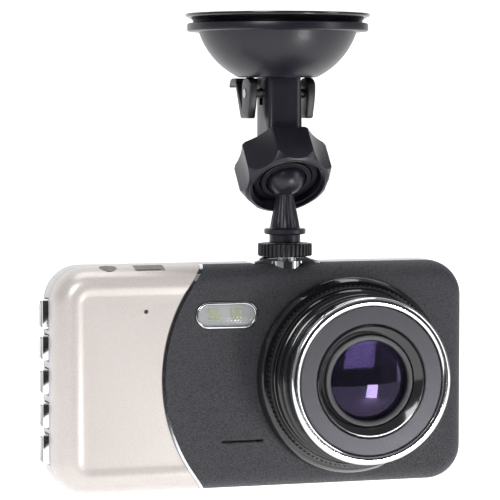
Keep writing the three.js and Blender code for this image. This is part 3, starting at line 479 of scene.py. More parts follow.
def zinc_plated_steel(node, place):
    # Zinc-plated steel, drawn: bright grey with fine lines along its length.
    drawn = node("Mapping", {"Scale": (1, 1, 0.1)}, Vector=place)
    lines = node("TexNoise", {"Scale": 1 / (0.15 * MM), "Detail": 2}, Vector=drawn)
    colour = node("MixRGB", {"Color1": "#8E9094", "Color2": "#BFC1C4"}, Fac=lines)
    gloss = node("MapRange", {"To Min": 0.22, "To Max": 0.4}, Value=lines)
    scores = node("Bump", {"Strength": 0.4, "Distance": 0.01 * MM}, Height=lines)
    return node("BsdfPrincipled", {"Metallic": 1}, Base_Color=colour, Roughness=gloss, Normal=scores)


def chrome_plated_abs(node, place):
    # Bright chrome over ABS: a mirror with the slow waviness of the plastic under it.
    wave = node("TexNoise", {"Scale": 1 / (3 * MM), "Detail": 1}, Vector=place)
    haze = node("TexNoise", {"Scale": 1 / (0.6 * MM), "Detail": 3}, Vector=place)
    colour = node("MixRGB", {"Color1": "#CDCED1", "Color2": "#E4E5E7"}, Fac=haze)
    gloss = node("MapRange", {"To Min": 0.05, "To Max": 0.14}, Value=haze)
    waviness = node("Bump", {"Strength": 0.35, "Distance": 0.02 * MM}, Height=wave)
    return node("BsdfPrincipled", {"Metallic": 1}, Base_Color=colour, Roughness=gloss, Normal=waviness)


def champagne_metallic_lacquer(node, place):
    # Champagne metallic lacquer on ABS: warm silver, fine flakes under a thin clear coat.
    flakes = node("TexVoronoi", {"Scale": 1 / (0.22 * MM)}, Vector=place)
    peel = node("TexNoise", {"Scale": 1 / (0.5 * MM), "Detail": 2}, Vector=place)
    colour = node("MixRGB", {"Color1": "#D2CBC6", "Color2": "#BAB2AE"}, Fac=flakes)
    gloss = node("MapRange", {"From Max": 0.8, "To Min": 0.28, "To Max": 0.44}, Value=flakes)
    orange_peel = node("Bump", {"Strength": 0.4, "Distance": 0.004 * MM}, Height=peel)
    return node(
        "BsdfPrincipled",
        {"Metallic": 0.3, "IOR": 1.5, "Coat Weight": 0.3, "Coat Roughness": 0.14},
        Base_Color=colour, Roughness=gloss, Normal=orange_peel,
    )


def silver_lacquered_abs(node, place):
    # Silver lacquer on ABS, a shade greyer and plainer than the front.
    flakes = node("TexVoronoi", {"Scale": 1 / (0.2 * MM)}, Vector=place)
    peel = node("TexNoise", {"Scale": 1 / (0.5 * MM), "Detail": 2}, Vector=place)
    colour = node("MixRGB", {"Color1": "#C6C3C3", "Color2": "#A9A6A7"}, Fac=flakes)
    gloss = node("MapRange", {"From Max": 0.8, "To Min": 0.3, "To Max": 0.45}, Value=flakes)
    orange_peel = node("Bump", {"Strength": 0.4, "Distance": 0.004 * MM}, Height=peel)
    return node(
        "BsdfPrincipled",
        {"Metallic": 0.35, "IOR": 1.5, "Coat Weight": 0.3, "Coat Roughness": 0.15},
        Base_Color=colour, Roughness=gloss, Normal=orange_peel,
    )


def leather_grained_abs(node, place):
    # ABS moulded with a leather grain: pebbles about 0.5 mm wide, creases darkened with painted shade,
    # and a dull sheen.
    bend = node("TexNoise", {"Scale": 1 / (1.6 * MM), "Detail": 2}, Vector=place)
    warped = node("MixRGB", {"Fac": 0.0006}, Color1=place, Color2=bend.outputs["Color"])
    pebbles = node("TexVoronoi", {"feature": "DISTANCE_TO_EDGE", "Scale": 1 / (0.55 * MM)}, Vector=warped)
    crease_and_painted_shade = node("MapRange", {"From Max": 0.22}, Value=pebbles)
    pores = node("TexNoise", {"Scale": 1 / (0.25 * MM), "Detail": 2}, Vector=place)
    height = node("MixRGB", {"Fac": 0.2}, Color1=crease_and_painted_shade, Color2=pores)
    # painted shade: the colour darkens towards the creases between the pebbles
    colour = node("MixRGB", {"Color1": "#18181C", "Color2": "#34343A"}, Fac=crease_and_painted_shade)
    gloss = node("MapRange", {"To Min": 0.7, "To Max": 0.48}, Value=crease_and_painted_shade)
    grain = node("Bump", {"Strength": 1, "Distance": 0.09 * MM}, Height=height)
    return node("BsdfPrincipled", {"IOR": 1.5}, Base_Color=colour, Roughness=gloss, Normal=grain)


def polished_black_abs(node, place):
    # Black plastic, polished and lacquered: deep black with a faint haze of handling.
    haze = node("TexNoise", {"Scale": 1 / (2.5 * MM), "Detail": 4, "Roughness": 0.6}, Vector=place)
    wave = node("TexNoise", {"Scale": 1 / (1.5 * MM), "Detail": 1}, Vector=place)
    colour = node("MixRGB", {"Color1": "#08080A", "Color2": "#121216"}, Fac=haze)
    gloss = node("MapRange", {"To Min": 0.08, "To Max": 0.22}, Value=haze)
    waviness = node("Bump", {"Strength": 0.4, "Distance": 0.004 * MM}, Height=wave)
    return node(
        "BsdfPrincipled", {"IOR": 1.5, "Coat Weight": 0.5, "Coat Roughness": 0.04},
        Base_Color=colour, Roughness=gloss, Normal=waviness,
    )


def satin_black_abs(node, place):
    # Black moulded plastic with a fine matt grain.
    grain = node("TexNoise", {"Scale": 1 / (0.25 * MM), "Detail": 3}, Vector=place)
    colour = node("MixRGB", {"Color1": "#0F0F12", "Color2": "#1B1B20"}, Fac=grain)
    gloss = node("MapRange", {"To Min": 0.32, "To Max": 0.5}, Value=grain)
    texture = node("Bump", {"Strength": 0.6, "Distance": 0.012 * MM}, Height=grain)
    return node("BsdfPrincipled", {"IOR": 1.5}, Base_Color=colour, Roughness=gloss, Normal=texture)


def graphite_satin_lacquer(node, place):
    # Graphite satin lacquer, sprayed: even grey with a soft metallic grain.
    flakes = node("TexVoronoi", {"Scale": 1 / (0.2 * MM)}, Vector=place)
    peel = node("TexNoise", {"Scale": 1 / (0.3 * MM), "Detail": 2}, Vector=place)
    colour = node("MixRGB", {"Color1": "#47464B", "Color2": "#313035"}, Fac=flakes)
    gloss = node("MapRange", {"From Max": 0.8, "To Min": 0.32, "To Max": 0.48}, Value=flakes)
    orange_peel = node("Bump", {"Strength": 0.5, "Distance": 0.006 * MM}, Height=peel)
    return node(
        "BsdfPrincipled", {"Metallic": 0.55},
        Base_Color=colour, Roughness=gloss, Normal=orange_peel,
    )


def coated_optical_glass(node, place):
    # Optical glass with a violet anti-reflection coat, dulled here and there by fine dust.
    dust = node("TexNoise", {"Scale": 1 / (1.8 * MM), "Detail": 3}, Vector=place)
    colour = node("MixRGB", {"Color1": "#5E5A70", "Color2": "#6A6680"}, Fac=dust)
    gloss = node("MapRange", {"To Min": 0.01, "To Max": 0.05}, Value=dust)
    return node(
        "BsdfPrincipled",
        {
            "IOR": 1.45, "Transmission Weight": 0.96, "Specular IOR Level": 0.1,
            "Specular Tint": "#C8B2F2",
        },
        Base_Color=colour, Roughness=gloss,
    )


def prismatic_acrylic(node, place):
    # Clear acrylic moulded with a grid of small prisms, 0.7 mm apart, that spread the lamp's light.
    grid = node("Mapping", {"Rotation": (0, math.radians(45), 0)}, Vector=place)
    prisms = node("TexVoronoi", {"Scale": 1 / (0.7 * MM), "Randomness": 0}, Vector=grid)
    colour = node("MixRGB", {"Color1": "#FFFFFF", "Color2": "#CFD3D6"}, Fac=prisms)
    gloss = node("MapRange", {"To Min": 0.05, "To Max": 0.2}, Value=prisms)
    facets = node("Bump", {"Strength": 0.7, "Distance": 0.1 * MM}, Height=prisms)
    return node(
        "BsdfPrincipled", {"IOR": 1.49, "Transmission Weight": 0.82},
        Base_Color=colour, Roughness=gloss, Normal=facets,
    )


def led_phosphor(node, place):
    # Yellow-green phosphor under silicone on a white ceramic base.
    grain = node("TexNoise", {"Scale": 1 / (0.2 * MM), "Detail": 3}, Vector=place)
    colour = node("MixRGB", {"Color1": "#D3DA62", "Color2": "#EEF09A"}, Fac=grain)
    gloss = node("MapRange", {"To Min": 0.2, "To Max": 0.4}, Value=grain)
    return node(
        "BsdfPrincipled", {"IOR": 1.41, "Subsurface Weight": 0.15},
        Base_Color=colour, Roughness=gloss,
    )


def solder_masked_board(node, place):
    # Green solder mask over copper tracks on glass-fibre board.
    tracks = node(
        "TexBrick",
        {
            "Scale": 1 / (6 * MM), "Mortar Size": 0.06, "Color1": "#FFFFFF",
            "Color2": "#F3F3F3", "Mortar": "#000000",
        },
        Vector=place,
    )
    haze = node("TexNoise", {"Scale": 1 / (0.8 * MM)}, Vector=place)
    colour = node("MixRGB", {"Color1": "#2F7A4A", "Color2": "#17502F"}, Fac=tracks)
    gloss = node("MapRange", {"To Min": 0.25, "To Max": 0.45}, Value=haze)
    copper = node("Bump", {"Strength": 0.5, "Distance": 0.03 * MM}, Height=tracks)
    return node("BsdfPrincipled", {"IOR": 1.5}, Base_Color=colour, Roughness=gloss, Normal=copper)


def white_solder_mask(node, place):
    # White solder mask, matt, round the lamp's chips: it throws their light forward.
    cloud = node("TexNoise", {"Scale": 1 / (0.6 * MM), "Detail": 3}, Vector=place)
    colour = node("MixRGB", {"Color1": "#E9EAEA", "Color2": "#F7F7F5"}, Fac=cloud)
    gloss = node("MapRange", {"To Min": 0.4, "To Max": 0.55}, Value=cloud)
    return node("BsdfPrincipled", {"IOR": 1.5}, Base_Color=colour, Roughness=gloss)


def tinned_sheet_steel(node, place):
    # Tinned sheet steel: a soft bright grey with rolling marks.
    marks = node("TexNoise", {"Scale": 1 / (0.5 * MM), "Detail": 4}, Vector=place)
    colour = node("MixRGB", {"Color1": "#A4A7AB", "Color2": "#CBCDD0"}, Fac=marks)
    gloss = node("MapRange", {"To Min": 0.22, "To Max": 0.42}, Value=marks)
    rolling = node("Bump", {"Strength": 0.4, "Distance": 0.008 * MM}, Height=marks)
    return node("BsdfPrincipled", {"Metallic": 1}, Base_Color=colour, Roughness=gloss, Normal=rolling)


def aluminium_pouch_foil(node, place):
    # Aluminium pouch foil, slightly crumpled.
    crumple = node("TexNoise", {"Scale": 1 / (5 * MM), "Detail": 3}, Vector=place)
    colour = node("MixRGB", {"Color1": "#868C94", "Color2": "#A9AFB6"}, Fac=crumple)
    gloss = node("MapRange", {"To Min": 0.25, "To Max": 0.45}, Value=crumple)
    creases = node("Bump", {"Strength": 0.4, "Distance": 0.2 * MM}, Height=crumple)
    return node("BsdfPrincipled", {"Metallic": 0.8}, Base_Color=colour, Roughness=gloss, Normal=creases)


def printed_cover_glass(node, place):
    # Cover glass printed black round a dark display: the seen area is a shade bluer than its border.
    split = node("SeparateXYZ", Vector=place)
    smear = node("TexNoise", {"Scale": 1 / (6 * MM), "Detail": 3}, Vector=place)
    seen, links = smear, place.id_data.links
    for axis, middle, size in (
        ("X", case_middle.x, VIEW["width"]), ("Z", case_middle.z, VIEW["height"]),
    ):
        near = node("Math", {"operation": "COMPARE"})
        links.new(split.outputs[axis], near.inputs[0])
        near.inputs[1].default_value = middle
        near.inputs[2].default_value = size / 2 * MM
        both = node("Math", {"operation": "MINIMUM"})
        links.new(near.outputs[0], both.inputs[0])
        links.new(seen.outputs[0], both.inputs[1])
        seen = both
    colour = node("MixRGB", {"Color1": "#060607", "Color2": "#1E222E"}, Fac=seen)
    gloss = node("MapRange", {"To Min": 0.04, "To Max": 0.1}, Value=smear)
    return node(
        "BsdfPrincipled", {"IOR": 1.52, "Coat Weight": 1, "Coat Roughness": 0.02},
        Base_Color=colour, Roughness=gloss,
    )


SLOT_FINISH = {
    "mount_plastic": material_of(moulded_nylon),
    "rubber": material_of(polished_vinyl),
    "steel": material_of(zinc_plated_steel),
    "chrome": material_of(chrome_plated_abs),
    "champagne": material_of(champagne_metallic_lacquer),
    "silver_plastic": material_of(silver_lacquered_abs),
    "leather_grain": material_of(leather_grained_abs),
    "gloss_black": material_of(polished_black_abs),
    "satin_black": material_of(satin_black_abs),
    "graphite": material_of(graphite_satin_lacquer),
    "optical_glass": material_of(coated_optical_glass),
    "clear_plastic": material_of(prismatic_acrylic),
    "led": material_of(led_phosphor),
    "circuit_board": material_of(solder_masked_board),
    "tin": material_of(tinned_sheet_steel),
    "cell": material_of(aluminium_pouch_foil),
}
slot_of = {part["node"]: part["material_slot"] for part in frame["record"]["subparts"]}


def finished(piece, nodes, material=None, smooth=40):
    """Ends a piece: place in its mesh, smooth shading, its material, and the CAD nodes it stands for."""
    settle(piece)
    bpy.ops.object.shade_smooth_by_angle(angle=math.radians(smooth))
    slot = slot_of[nodes[0]]
    piece.data.materials.clear()
    piece.data.materials.append(material or SLOT_FINISH[slot])
    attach(piece, frame["nodes"][nodes[0]]["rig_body"])
    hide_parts(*nodes)
    return piece


# the parts that keep their plain form wear their slot's material; the lamp's board is white
for name, cad_node in frame["nodes"].items():
    plain = material_of(white_solder_mask) if name == "lamp_board" else SLOT_FINISH[slot_of[name]]
    cad_node.data.materials.clear()
    cad_node.data.materials.append(plain)

# ---------- suction mount ----------

ON_AXIS = (0, 0, 0)


def rubber_cup():
    profile = [
        [0, -1.6], [6.85, -1.6], [6.85, -2.5], [22.6, -2.5], [22.8, -2.3],
        [22.9, -1.95], [23.3, -1.6], [23.9, -1.25], [24.5, -0.95],
        [24.78, -0.7], [24.84, -0.4], [24.78, -0.15], [24.55, 0], [0, 0],
    ]
    finished(turned("rubber_cup", profile, ON_AXIS), ["suction_cup"])


def dome():
    brim = [21.25, -4.9]
    bowl = curve(brim, [18.4, -13.2], [10.5, DOME_FLOOR], 14)
    profile = [
        [2.75, DOME_FLOOR], *reversed(bowl), brim,
        [21.6, -4.9], [23.9, -4.85], [24.3, -4.6], [24.35, -4.3],
        [24.35, -3.05], [24.25, -2.75], [23.9, -2.6],
        [19.25, -2.6], [19.25, -5.4], [17.5, -7.6], [15.2, -10.6], [12.8, -13], [8, -15.1], [2.75, -15.1],
    ]
    finished(turned("dome", profile, ON_AXIS), ["dome_housing"])


def arm_outline():
    behind = 8.9
    rear_y = BALL_Y + behind * math.sin(math.radians(SOCKET_TILT))
    rear_z = BALL_Z + behind * math.cos(math.radians(SOCKET_TILT))
    top = DOME_FLOOR - 0.1
    corner = [4.7, rear_z + 3]
    return [
        [4.7, top], [-7.3, top], [-7.3, rear_z + 3], [rear_y - 6.5, rear_z + 1.5],
        [rear_y + 4.5, rear_z - 7.5],
        *curve([rear_y + 4.5, rear_z - 7.5], [4.7, rear_z - 4], corner, 6),
    ]


def upright_on_ball(name, profile, steps=FINE):
    """A turned piece round the ball, with levels from its middle, tipped onto the socket's axis."""
    levels = [[radius, BALL_Z + level] for radius, level in profile]
    return onto_socket(turned(name, levels, ball_centre, steps=steps))


def arm():
    half = 4.65
    points = [(-half * MM, y * MM, z * MM) for y, z in arm_outline()]
    column = outlined("arm", points, (2 * half * MM, 0, 0))
    upright = runs_along("Z")
    pick_edges(column, lambda a, b: upright(a, b) and a.y < -7 * MM)
    bevel_picked(1.7, 3)
    pick_edges(column, lambda a, b: upright(a, b) and a.y > 4 * MM)
    bevel_picked(1.2, 3)
    boolean(column, upright_on_ball("nut_room", [[8.7, -5.66], [14.7, -5.66], [14.7, 7.55], [8.7, 7.55]]))
    collar = upright_on_ball("collar", [
        [0, 7.7], [0, 5.9], [7.2, 5.9], [7.2, -1.3], [8.55, -1.3], [8.7, -1.15], [8.7, 7.4], [8.4, 7.7],
    ])
    boolean(column, collar, "UNION")
    boolean(column, upright_on_ball("socket_room", [[0, -3], [7.2, -3], [7.2, 5.9], [0, 5.9]]))
    slot = 1.5
    boolean(column, block(
        "pin_slot",
        (-10 * MM, -slot * MM, (PIN_LEVEL - slot - 1.6) * MM),
        (10 * MM, slot * MM, (PIN_LEVEL + slot) * MM),
    ))
    boolean(column, rod("rod_bore", 2.75, (0, 0, -26.1 * MM), (0, 0, -16 * MM)))
    soften(column, 0.25, 2, 40)
    finished(column, ["mount_arm"])


def lever():
    half, ear_thickness = 9.2, 2.1
    top = 4.1
    turn = math.radians(60)
    side = [[3, -4.1], [3, 1], *curve([3, 1], [3, top], [0, top], 6)]
    for share in (0.25, 0.5, 0.75, 1):
        radius = top + 1.4 * share
        side.append([-radius * math.sin(turn * share), radius * math.cos(turn * share)])
    side += curve(side[-1], [-5.4, 0], [-3, -5.5], 6)
    side += curve([-3, -5.5], [-3, -6.7], [-1.8, -6.7], 4)
    side += [[4.2, -6.7], [9.7, top - 0.9], [8.4, top - 0.9]]
    ears = []
    for name, start in (("lever", -half), ("far_ear", half - ear_thickness)):
        points = [(start * MM, y * MM, (z + PIN_LEVEL) * MM) for y, z in side]
        ear = outlined(name, points, (ear_thickness * MM, 0, 0))
        ears.append(soften(ear, 0.35, 3, 30))
    lip_outline = [
        [8.4, 2.3], [13.2, 2.3], [14.4, 1.9], [14.9, 1.5],
        [14.7, 2.6], [13.8, 3.7], [12.4, top], [8.4, top],
    ]
    points = [(-half * MM, y * MM, (z + PIN_LEVEL) * MM) for y, z in lip_outline]
    lip = outlined("finger_lip", points, (2 * half * MM, 0, 0))
    boolean(ears[0], ears[1], "UNION")
    boolean(ears[0], soften(lip, 0.4, 3, 30), "UNION")
    for side_of_x in (-1, 1):
        outside = (side_of_x * (half + 0.2) * MM, 0, PIN_LEVEL * MM)
        inside = (side_of_x * (half - ear_thickness - 0.2) * MM, 0, PIN_LEVEL * MM)
        boolean(ears[0], rod("pin_bore", 1.35, outside, inside))
    finished(ears[0], ["lock_lever"], SLOT_FINISH["satin_black"])


def clamp_nut():
    turns = [math.radians(45 * index + 113) for index in range(9)]
    corners = [[NUT_CORNER * math.cos(turn), NUT_CORNER * math.sin(turn)] for turn in turns]
    outline = []
    for here, there in zip(corners, corners[1:]):
        pull = [(a + b) / 2 * 0.88 for a, b in zip(here, there)]
        outline += curve(here, pull, there, 8)
    start = BALL_Z + NUT_FRONT
    points = [(x * MM, (y + BALL_Y) * MM, start * MM) for x, y in outline]
    nut = outlined("clamp_nut_body", points, (0, 0, (NUT_BACK - NUT_FRONT) * MM))
    envelope = turned("nut_envelope", [
        [0, start], [10.5, start], [11.4, start + 0.5], [12.9, start + 2.9],
        [12.9, BALL_Z + 6.3], [12.2, BALL_Z + NUT_BACK], [0, BALL_Z + NUT_BACK],
    ], ball_centre)
    boolean(nut, envelope, "INTERSECT")
    boolean(nut, turned("nut_bore", [
        [0, start - 1], [9.9, start - 1], [9.9, start + 0.9], [9.4, start + 1.1], [9.4, BALL_Z - 1.9],
        [8.95, BALL_Z - 0.4], [8.95, BALL_Z + 9], [0, BALL_Z + 9],
    ], ball_centre))
    soften(nut, 0.28, 2, 28)
    rim = turned("nut_rim", arc((10.15, start + 0.05), 0.3, 0, 330, 11), ball_centre)
    joined(nut, rim)
    onto_socket(nut)
    finished(nut, ["clamp_nut"], smooth=32)


def seat_of_ball():
    bore = BALL_RADIUS + 0.25
    inner = []
    for step in range(13):
        level = 4.4 - 6.3 * step / 12
        inner.append([math.sqrt(bore**2 - level**2), level])
    profile = [[6.75, -1.9], [6.95, -1.7], [6.95, 4.4], *inner[:-1], [inner[-1][0] + 0.15, -1.9]]
    finished(upright_on_ball("split_seat", profile), ["ball_seat"])


def stud():
    neck = 2.35
    angle = math.degrees(math.asin(neck / BALL_RADIUS))
    foot = STUD_FOOT
    ball = arc((0, BALL_Z), BALL_RADIUS, -90 + angle, 90, 22)
    profile = [
        [0, COLLAR_LEVEL], [3.9, COLLAR_LEVEL], [4.15, COLLAR_LEVEL + 0.25],
        [4.15, foot - 1.7], [4.3, foot - 1.5], [5.3, foot - 1.5], [5.55, foot - 1.25],
        [5.55, foot - 0.25], [5.3, foot], [4.3, foot], [4.0, foot + 0.3],
        [3.85, foot + 1.2], [3.4, foot + 3.6], [2.85, foot + 6.2], [2.5, foot + 8.2],
        *ball,
    ]
    profile[-1][0] = 0
    piece = turned("ball_and_stud", profile, ball_centre)
    low, high = (foot + 0.8) * MM, (foot + 8.5) * MM
    flutes = 16
    open_mesh(piece, picked="DESELECT")
    close_mesh()
    for vertex in piece.data.vertices:
        turn = math.atan2(vertex.co.y - ball_centre.y, vertex.co.x) / FULL_TURN
        vertex.select = low < vertex.co.z < high and round(turn * FINE) % (FINE // flutes) in (0, 1)
    bpy.ops.object.mode_set(mode="EDIT")
    bpy.ops.transform.resize(value=(0.965, 0.965, 1), center_override=ball_centre)
    close_mesh()
    finished(piece, ["ball_stud"], smooth=30)


def ribbed_nut():
    floor, top = THUMB_FLOOR, THUMB_FLOOR + 3.5
    profile = [
        [3.35, floor], [6.3, floor], [6.7, floor + 0.35], [6.7, top - 0.35], [6.3, top],
        [4.9, top], [4.6, top - 0.25], [3.35, top - 0.25],
    ]
    core = turned("ribbed_nut", profile, ball_centre)
    tip, half = 7.25, 0.34
    rib = block(
        "rib",
        (6.4 * MM, (BALL_Y - half) * MM, (floor + 0.1) * MM),
        (tip * MM, (BALL_Y + half) * MM, (top - 0.1) * MM),
    )
    near_tip = (tip - 0.05) * MM
    pick_edges(rib, lambda a, b: a.x > near_tip and b.x > near_tip)
    bevel_picked(0.22, 2)
    ribs = ring_of(rib, 36, ball_centre, "Z")
    finished(joined(core, ribs), ["thumb_nut"], smooth=30)


# ---------- casing ----------


def casing(name, shrink=0.0, dish=0.0):
    """The casing's front form: a rounded slab whose front edges follow a quarter of an ellipse."""
    x, z = case_width / 2 - shrink, case_height / 2 - shrink
    start = CASE_FRONT + SHOULDER_DEPTH
    piece = block(name, case(-x, start, -z), case(x, CASE_BACK, z))
    pick_edges(piece, runs_along("Y"))
    bevel_picked(CASE_CORNER - shrink, 12)
    pick_faces(piece, lambda centre, normal: normal.y < -0.9)
    steps = 10
    for step in range(steps):
        here, there = (math.radians(90 * s / steps) for s in (step, step + 1))
        bpy.ops.mesh.inset(
            thickness=(SHOULDER_INSET - shrink) * (math.cos(here) - math.cos(there)) * MM,
            depth=(SHOULDER_DEPTH - shrink) * (math.sin(there) - math.sin(here)) * MM,
        )
    if dish:
        for thickness, share in ((0.5, 0.0), (0.5, 0.15), (0.6, 0.4), (0.6, 0.35), (0.5, 0.1)):
            bpy.ops.mesh.inset(thickness=thickness * MM, depth=-share * dish * MM)
    close_mesh()
    return piece


def panel_side(name, radius):
    """Everything to the right of the panel's curved edge."""
    middle = ARC_LEFT + ARC_RADIUS
    far = 120  # well past the casing's right side
    outline = [[far, -radius], [far, radius], *arc((middle, 0), radius, 90, 270, 64)]
    return case_plate(name, outline, -30, 30)


def through(outline):
    return case_plate("opening", outline, -12, -3)


def stud_hole():
    top = case_height / 2
    return rod("stud_hole", STUD_ROOM, case(STUD_X, STUD_Y, top - 11), case(STUD_X, STUD_Y, top + 2), 48)


def lens_hole():
    return rod("lens_room", LENS_ROOM, case(lens_x, -12, 0), case(lens_x, 0, 0), 64)


def front_shell():
    top = case_height / 2
    shell = casing("front_shell_piece", dish=DISH_DEPTH)
    under_panel = panel_side("under_panel", ARC_RADIUS + TRIM + 0.2)
    boolean(under_panel, casing("inner_form", PANEL_SKIN + 0.2))
    boolean(shell, under_panel)
    sliced(shell, FRONT_SEAM, "front")
    boolean(shell, through(stadium(LAMP, 0.2)))
    boolean(shell, through(stadium(SLOT)))
    boolean(shell, lens_hole())
    boolean(shell, stud_hole())
    boolean(shell, rod(
        "microphone_hole", MICROPHONE["radius"],
        case(MICROPHONE["x"], -12, MICROPHONE["z"]), case(MICROPHONE["x"], -6.5, MICROPHONE["z"]), 24,
    ))
    boolean(shell, rod(
        "jack_mouth", JACK["radius"],
        case(JACK["x"], SOCKETS_Y, top - 12), case(JACK["x"], SOCKETS_Y, top + 2), 40,
    ))
    boolean(shell, block(
        "usb_mouth",
        case(USB["x"] - USB["width"] / 2, SOCKETS_Y - USB["depth"] / 2, top - 10),
        case(USB["x"] + USB["width"] / 2, SOCKETS_Y + USB["depth"] / 2, top + 2),
    ))
    boolean(shell, block(
        "card_mouth",
        case(CARD["x"] - CARD["width"] / 2, -3.1, -top - 2),
        case(CARD["x"] + CARD["width"] / 2, FRONT_SEAM + 1, -top + 16),
    ))
    finished(shell, ["front_shell"], smooth=24)


def leather_panel():
    panel = casing("leather_panel_piece")
    boolean(panel, panel_side("panel_edge", ARC_RADIUS), "INTERSECT")
    sliced(panel, FRONT_SEAM - 0.4, "front")
    boolean(panel, casing("panel_inside", PANEL_SKIN))
    boolean(panel, through(stadium(LAMP, 0.2)))
    boolean(panel, through(stadium(SLOT)))
    boolean(panel, lens_hole())
    boolean(panel, stud_hole())
    finished(panel, ["leather_panel"], smooth=24)


def trim_line():
    strip = casing("trim_line")
    boolean(strip, panel_side("trim_outside", ARC_RADIUS + 0.1 + TRIM), "INTERSECT")
    boolean(strip, panel_side("trim_inside", ARC_RADIUS + 0.1))
    sliced(strip, FRONT_SEAM - 0.4, "front")
    boolean(strip, casing("trim_under", PANEL_SKIN))
    finished(strip, ["panel_trim"], smooth=24)


def key_places():
    """Each key's name, level and height, from the top down."""
    return [
        (name, KEY_MIDDLE + (2 - index) * KEY_PITCH, height)
        for index, (name, height) in enumerate(KEY_HEIGHTS.items())
    ]


def middle_frame():
    x, z = case_width / 2, case_height / 2
    ring = block("middle_frame", case(-x, FRONT_SEAM + SEAM_GAP, -z), case(x, REAR_SEAM, z))
    pick_edges(ring, runs_along("Y"))
    bevel_picked(CASE_CORNER, 12)
    soften(ring, 0.3, 2, 60)
    room = case_plate("frame_room", rounded_rectangle(2 * x - 4.4, 2 * z - 4.4, CASE_CORNER - 2.2), -4, 9)
    boolean(ring, room)
    gap = 0.25
    for _, level, height in key_places():
        boolean(ring, block(
            "key_window",
            case(-x - 1, KEY_Y - KEY_HALF_DEPTH - gap, level - height / 2 - gap),
            case(-x + 4, KEY_Y + KEY_HALF_DEPTH + gap, level + height / 2 + gap),
        ))
    boolean(ring, stud_hole())
    finished(ring, ["mid_frame"], smooth=30)


def rear_lid():
    x, z = case_width / 2, case_height / 2
    lid = block("rear_lid", case(-x, REAR_SEAM + SEAM_GAP, -z), case(x, CASE_BACK - 2, z))
    pick_edges(lid, runs_along("Y"))
    bevel_picked(CASE_CORNER, 12)
    pick_faces(lid, lambda centre, normal: normal.y > 0.9)
    steps = 6
    for step in range(steps):
        here, there = (math.radians(90 * s / steps) for s in (step, step + 1))
        bpy.ops.mesh.inset(
            thickness=HEEL * (math.cos(here) - math.cos(there)) * MM,
            depth=2 * (math.sin(there) - math.sin(here)) * MM,
        )
    close_mesh()
    seat = rounded_rectangle(SCREEN["width"] + 0.4, SCREEN["height"] + 0.4, SCREEN["corner"] + 0.2)
    boolean(lid, case_plate("glass_seat", seat, CASE_BACK - SCREEN["thick"] - 0.2, CASE_BACK + 2))
    view = rounded_rectangle(VIEW["width"], VIEW["height"], 1)
    boolean(lid, case_plate("view_window", view, REAR_SEAM - 1, CASE_BACK + 2))
    for side_x in (-1, 1):
        for side_z in (-1, 1):
            px, pz = side_x * POSTS["x"], side_z * POSTS["z"]
            outside = case(px, CASE_BACK + 1, pz)
            boolean(lid, rod("head_room", 1.95, case(px, CASE_BACK - 1.4, pz), outside))
            boolean(lid, rod("thread_room", 1.1, case(px, REAR_SEAM - 1, pz), outside))
    soften(lid, 0.12, 2, 50)
    finished(lid, ["rear_cover"], smooth=30)


def boss():
    top = case_height / 2
    outline = [
        [-9.4, top - 1.6], [9.4, top - 1.6], [9.4, top + 0.25],
        [5, top + 1.6], [-5, top + 1.6], [-9.4, top + 0.25],
    ]
    flare = case_plate("boss_flare", [[STUD_X + x, z] for x, z in outline], -3.3, 3.4)
    soften(flare, 0.35, 3, 20)
    bulge = rod("bulge", 2.25, case(STUD_X, -2.4, top - 1.6), case(STUD_X, -2.4, top + 1.55), 40)
    boolean(flare, soften(bulge, 0.3, 3, 40), "UNION")
    insert = rod("insert", 4.6, case(STUD_X, STUD_Y, top - 8), case(STUD_X, STUD_Y, top + 0.5), 48)
    boolean(flare, insert, "UNION")
    bore_low, bore_high = case(STUD_X, STUD_Y, top - 7), case(STUD_X, STUD_Y, top + 3)
    boolean(flare, rod("thread_bore", 3.2, bore_low, bore_high, 48))
    finished(flare, ["tripod_boss"], smooth=32)


def cover_glass():
    outline = rounded_rectangle(SCREEN["width"], SCREEN["height"], SCREEN["corner"])
    glass = case_plate("cover_glass", outline, CASE_BACK - SCREEN["thick"], CASE_BACK)
    soften(glass, 0.2, 3, 50)
    finished(glass, ["screen_glass"], material_of(printed_cover_glass), smooth=30)


# ---------- lens ----------


def lens_piece(name, profile, nodes, steps=128, smooth=30):
    centre = case(lens_x, 0, 0)
    finished(turned(name, profile, centre, "Y", steps), nodes, smooth=smooth)


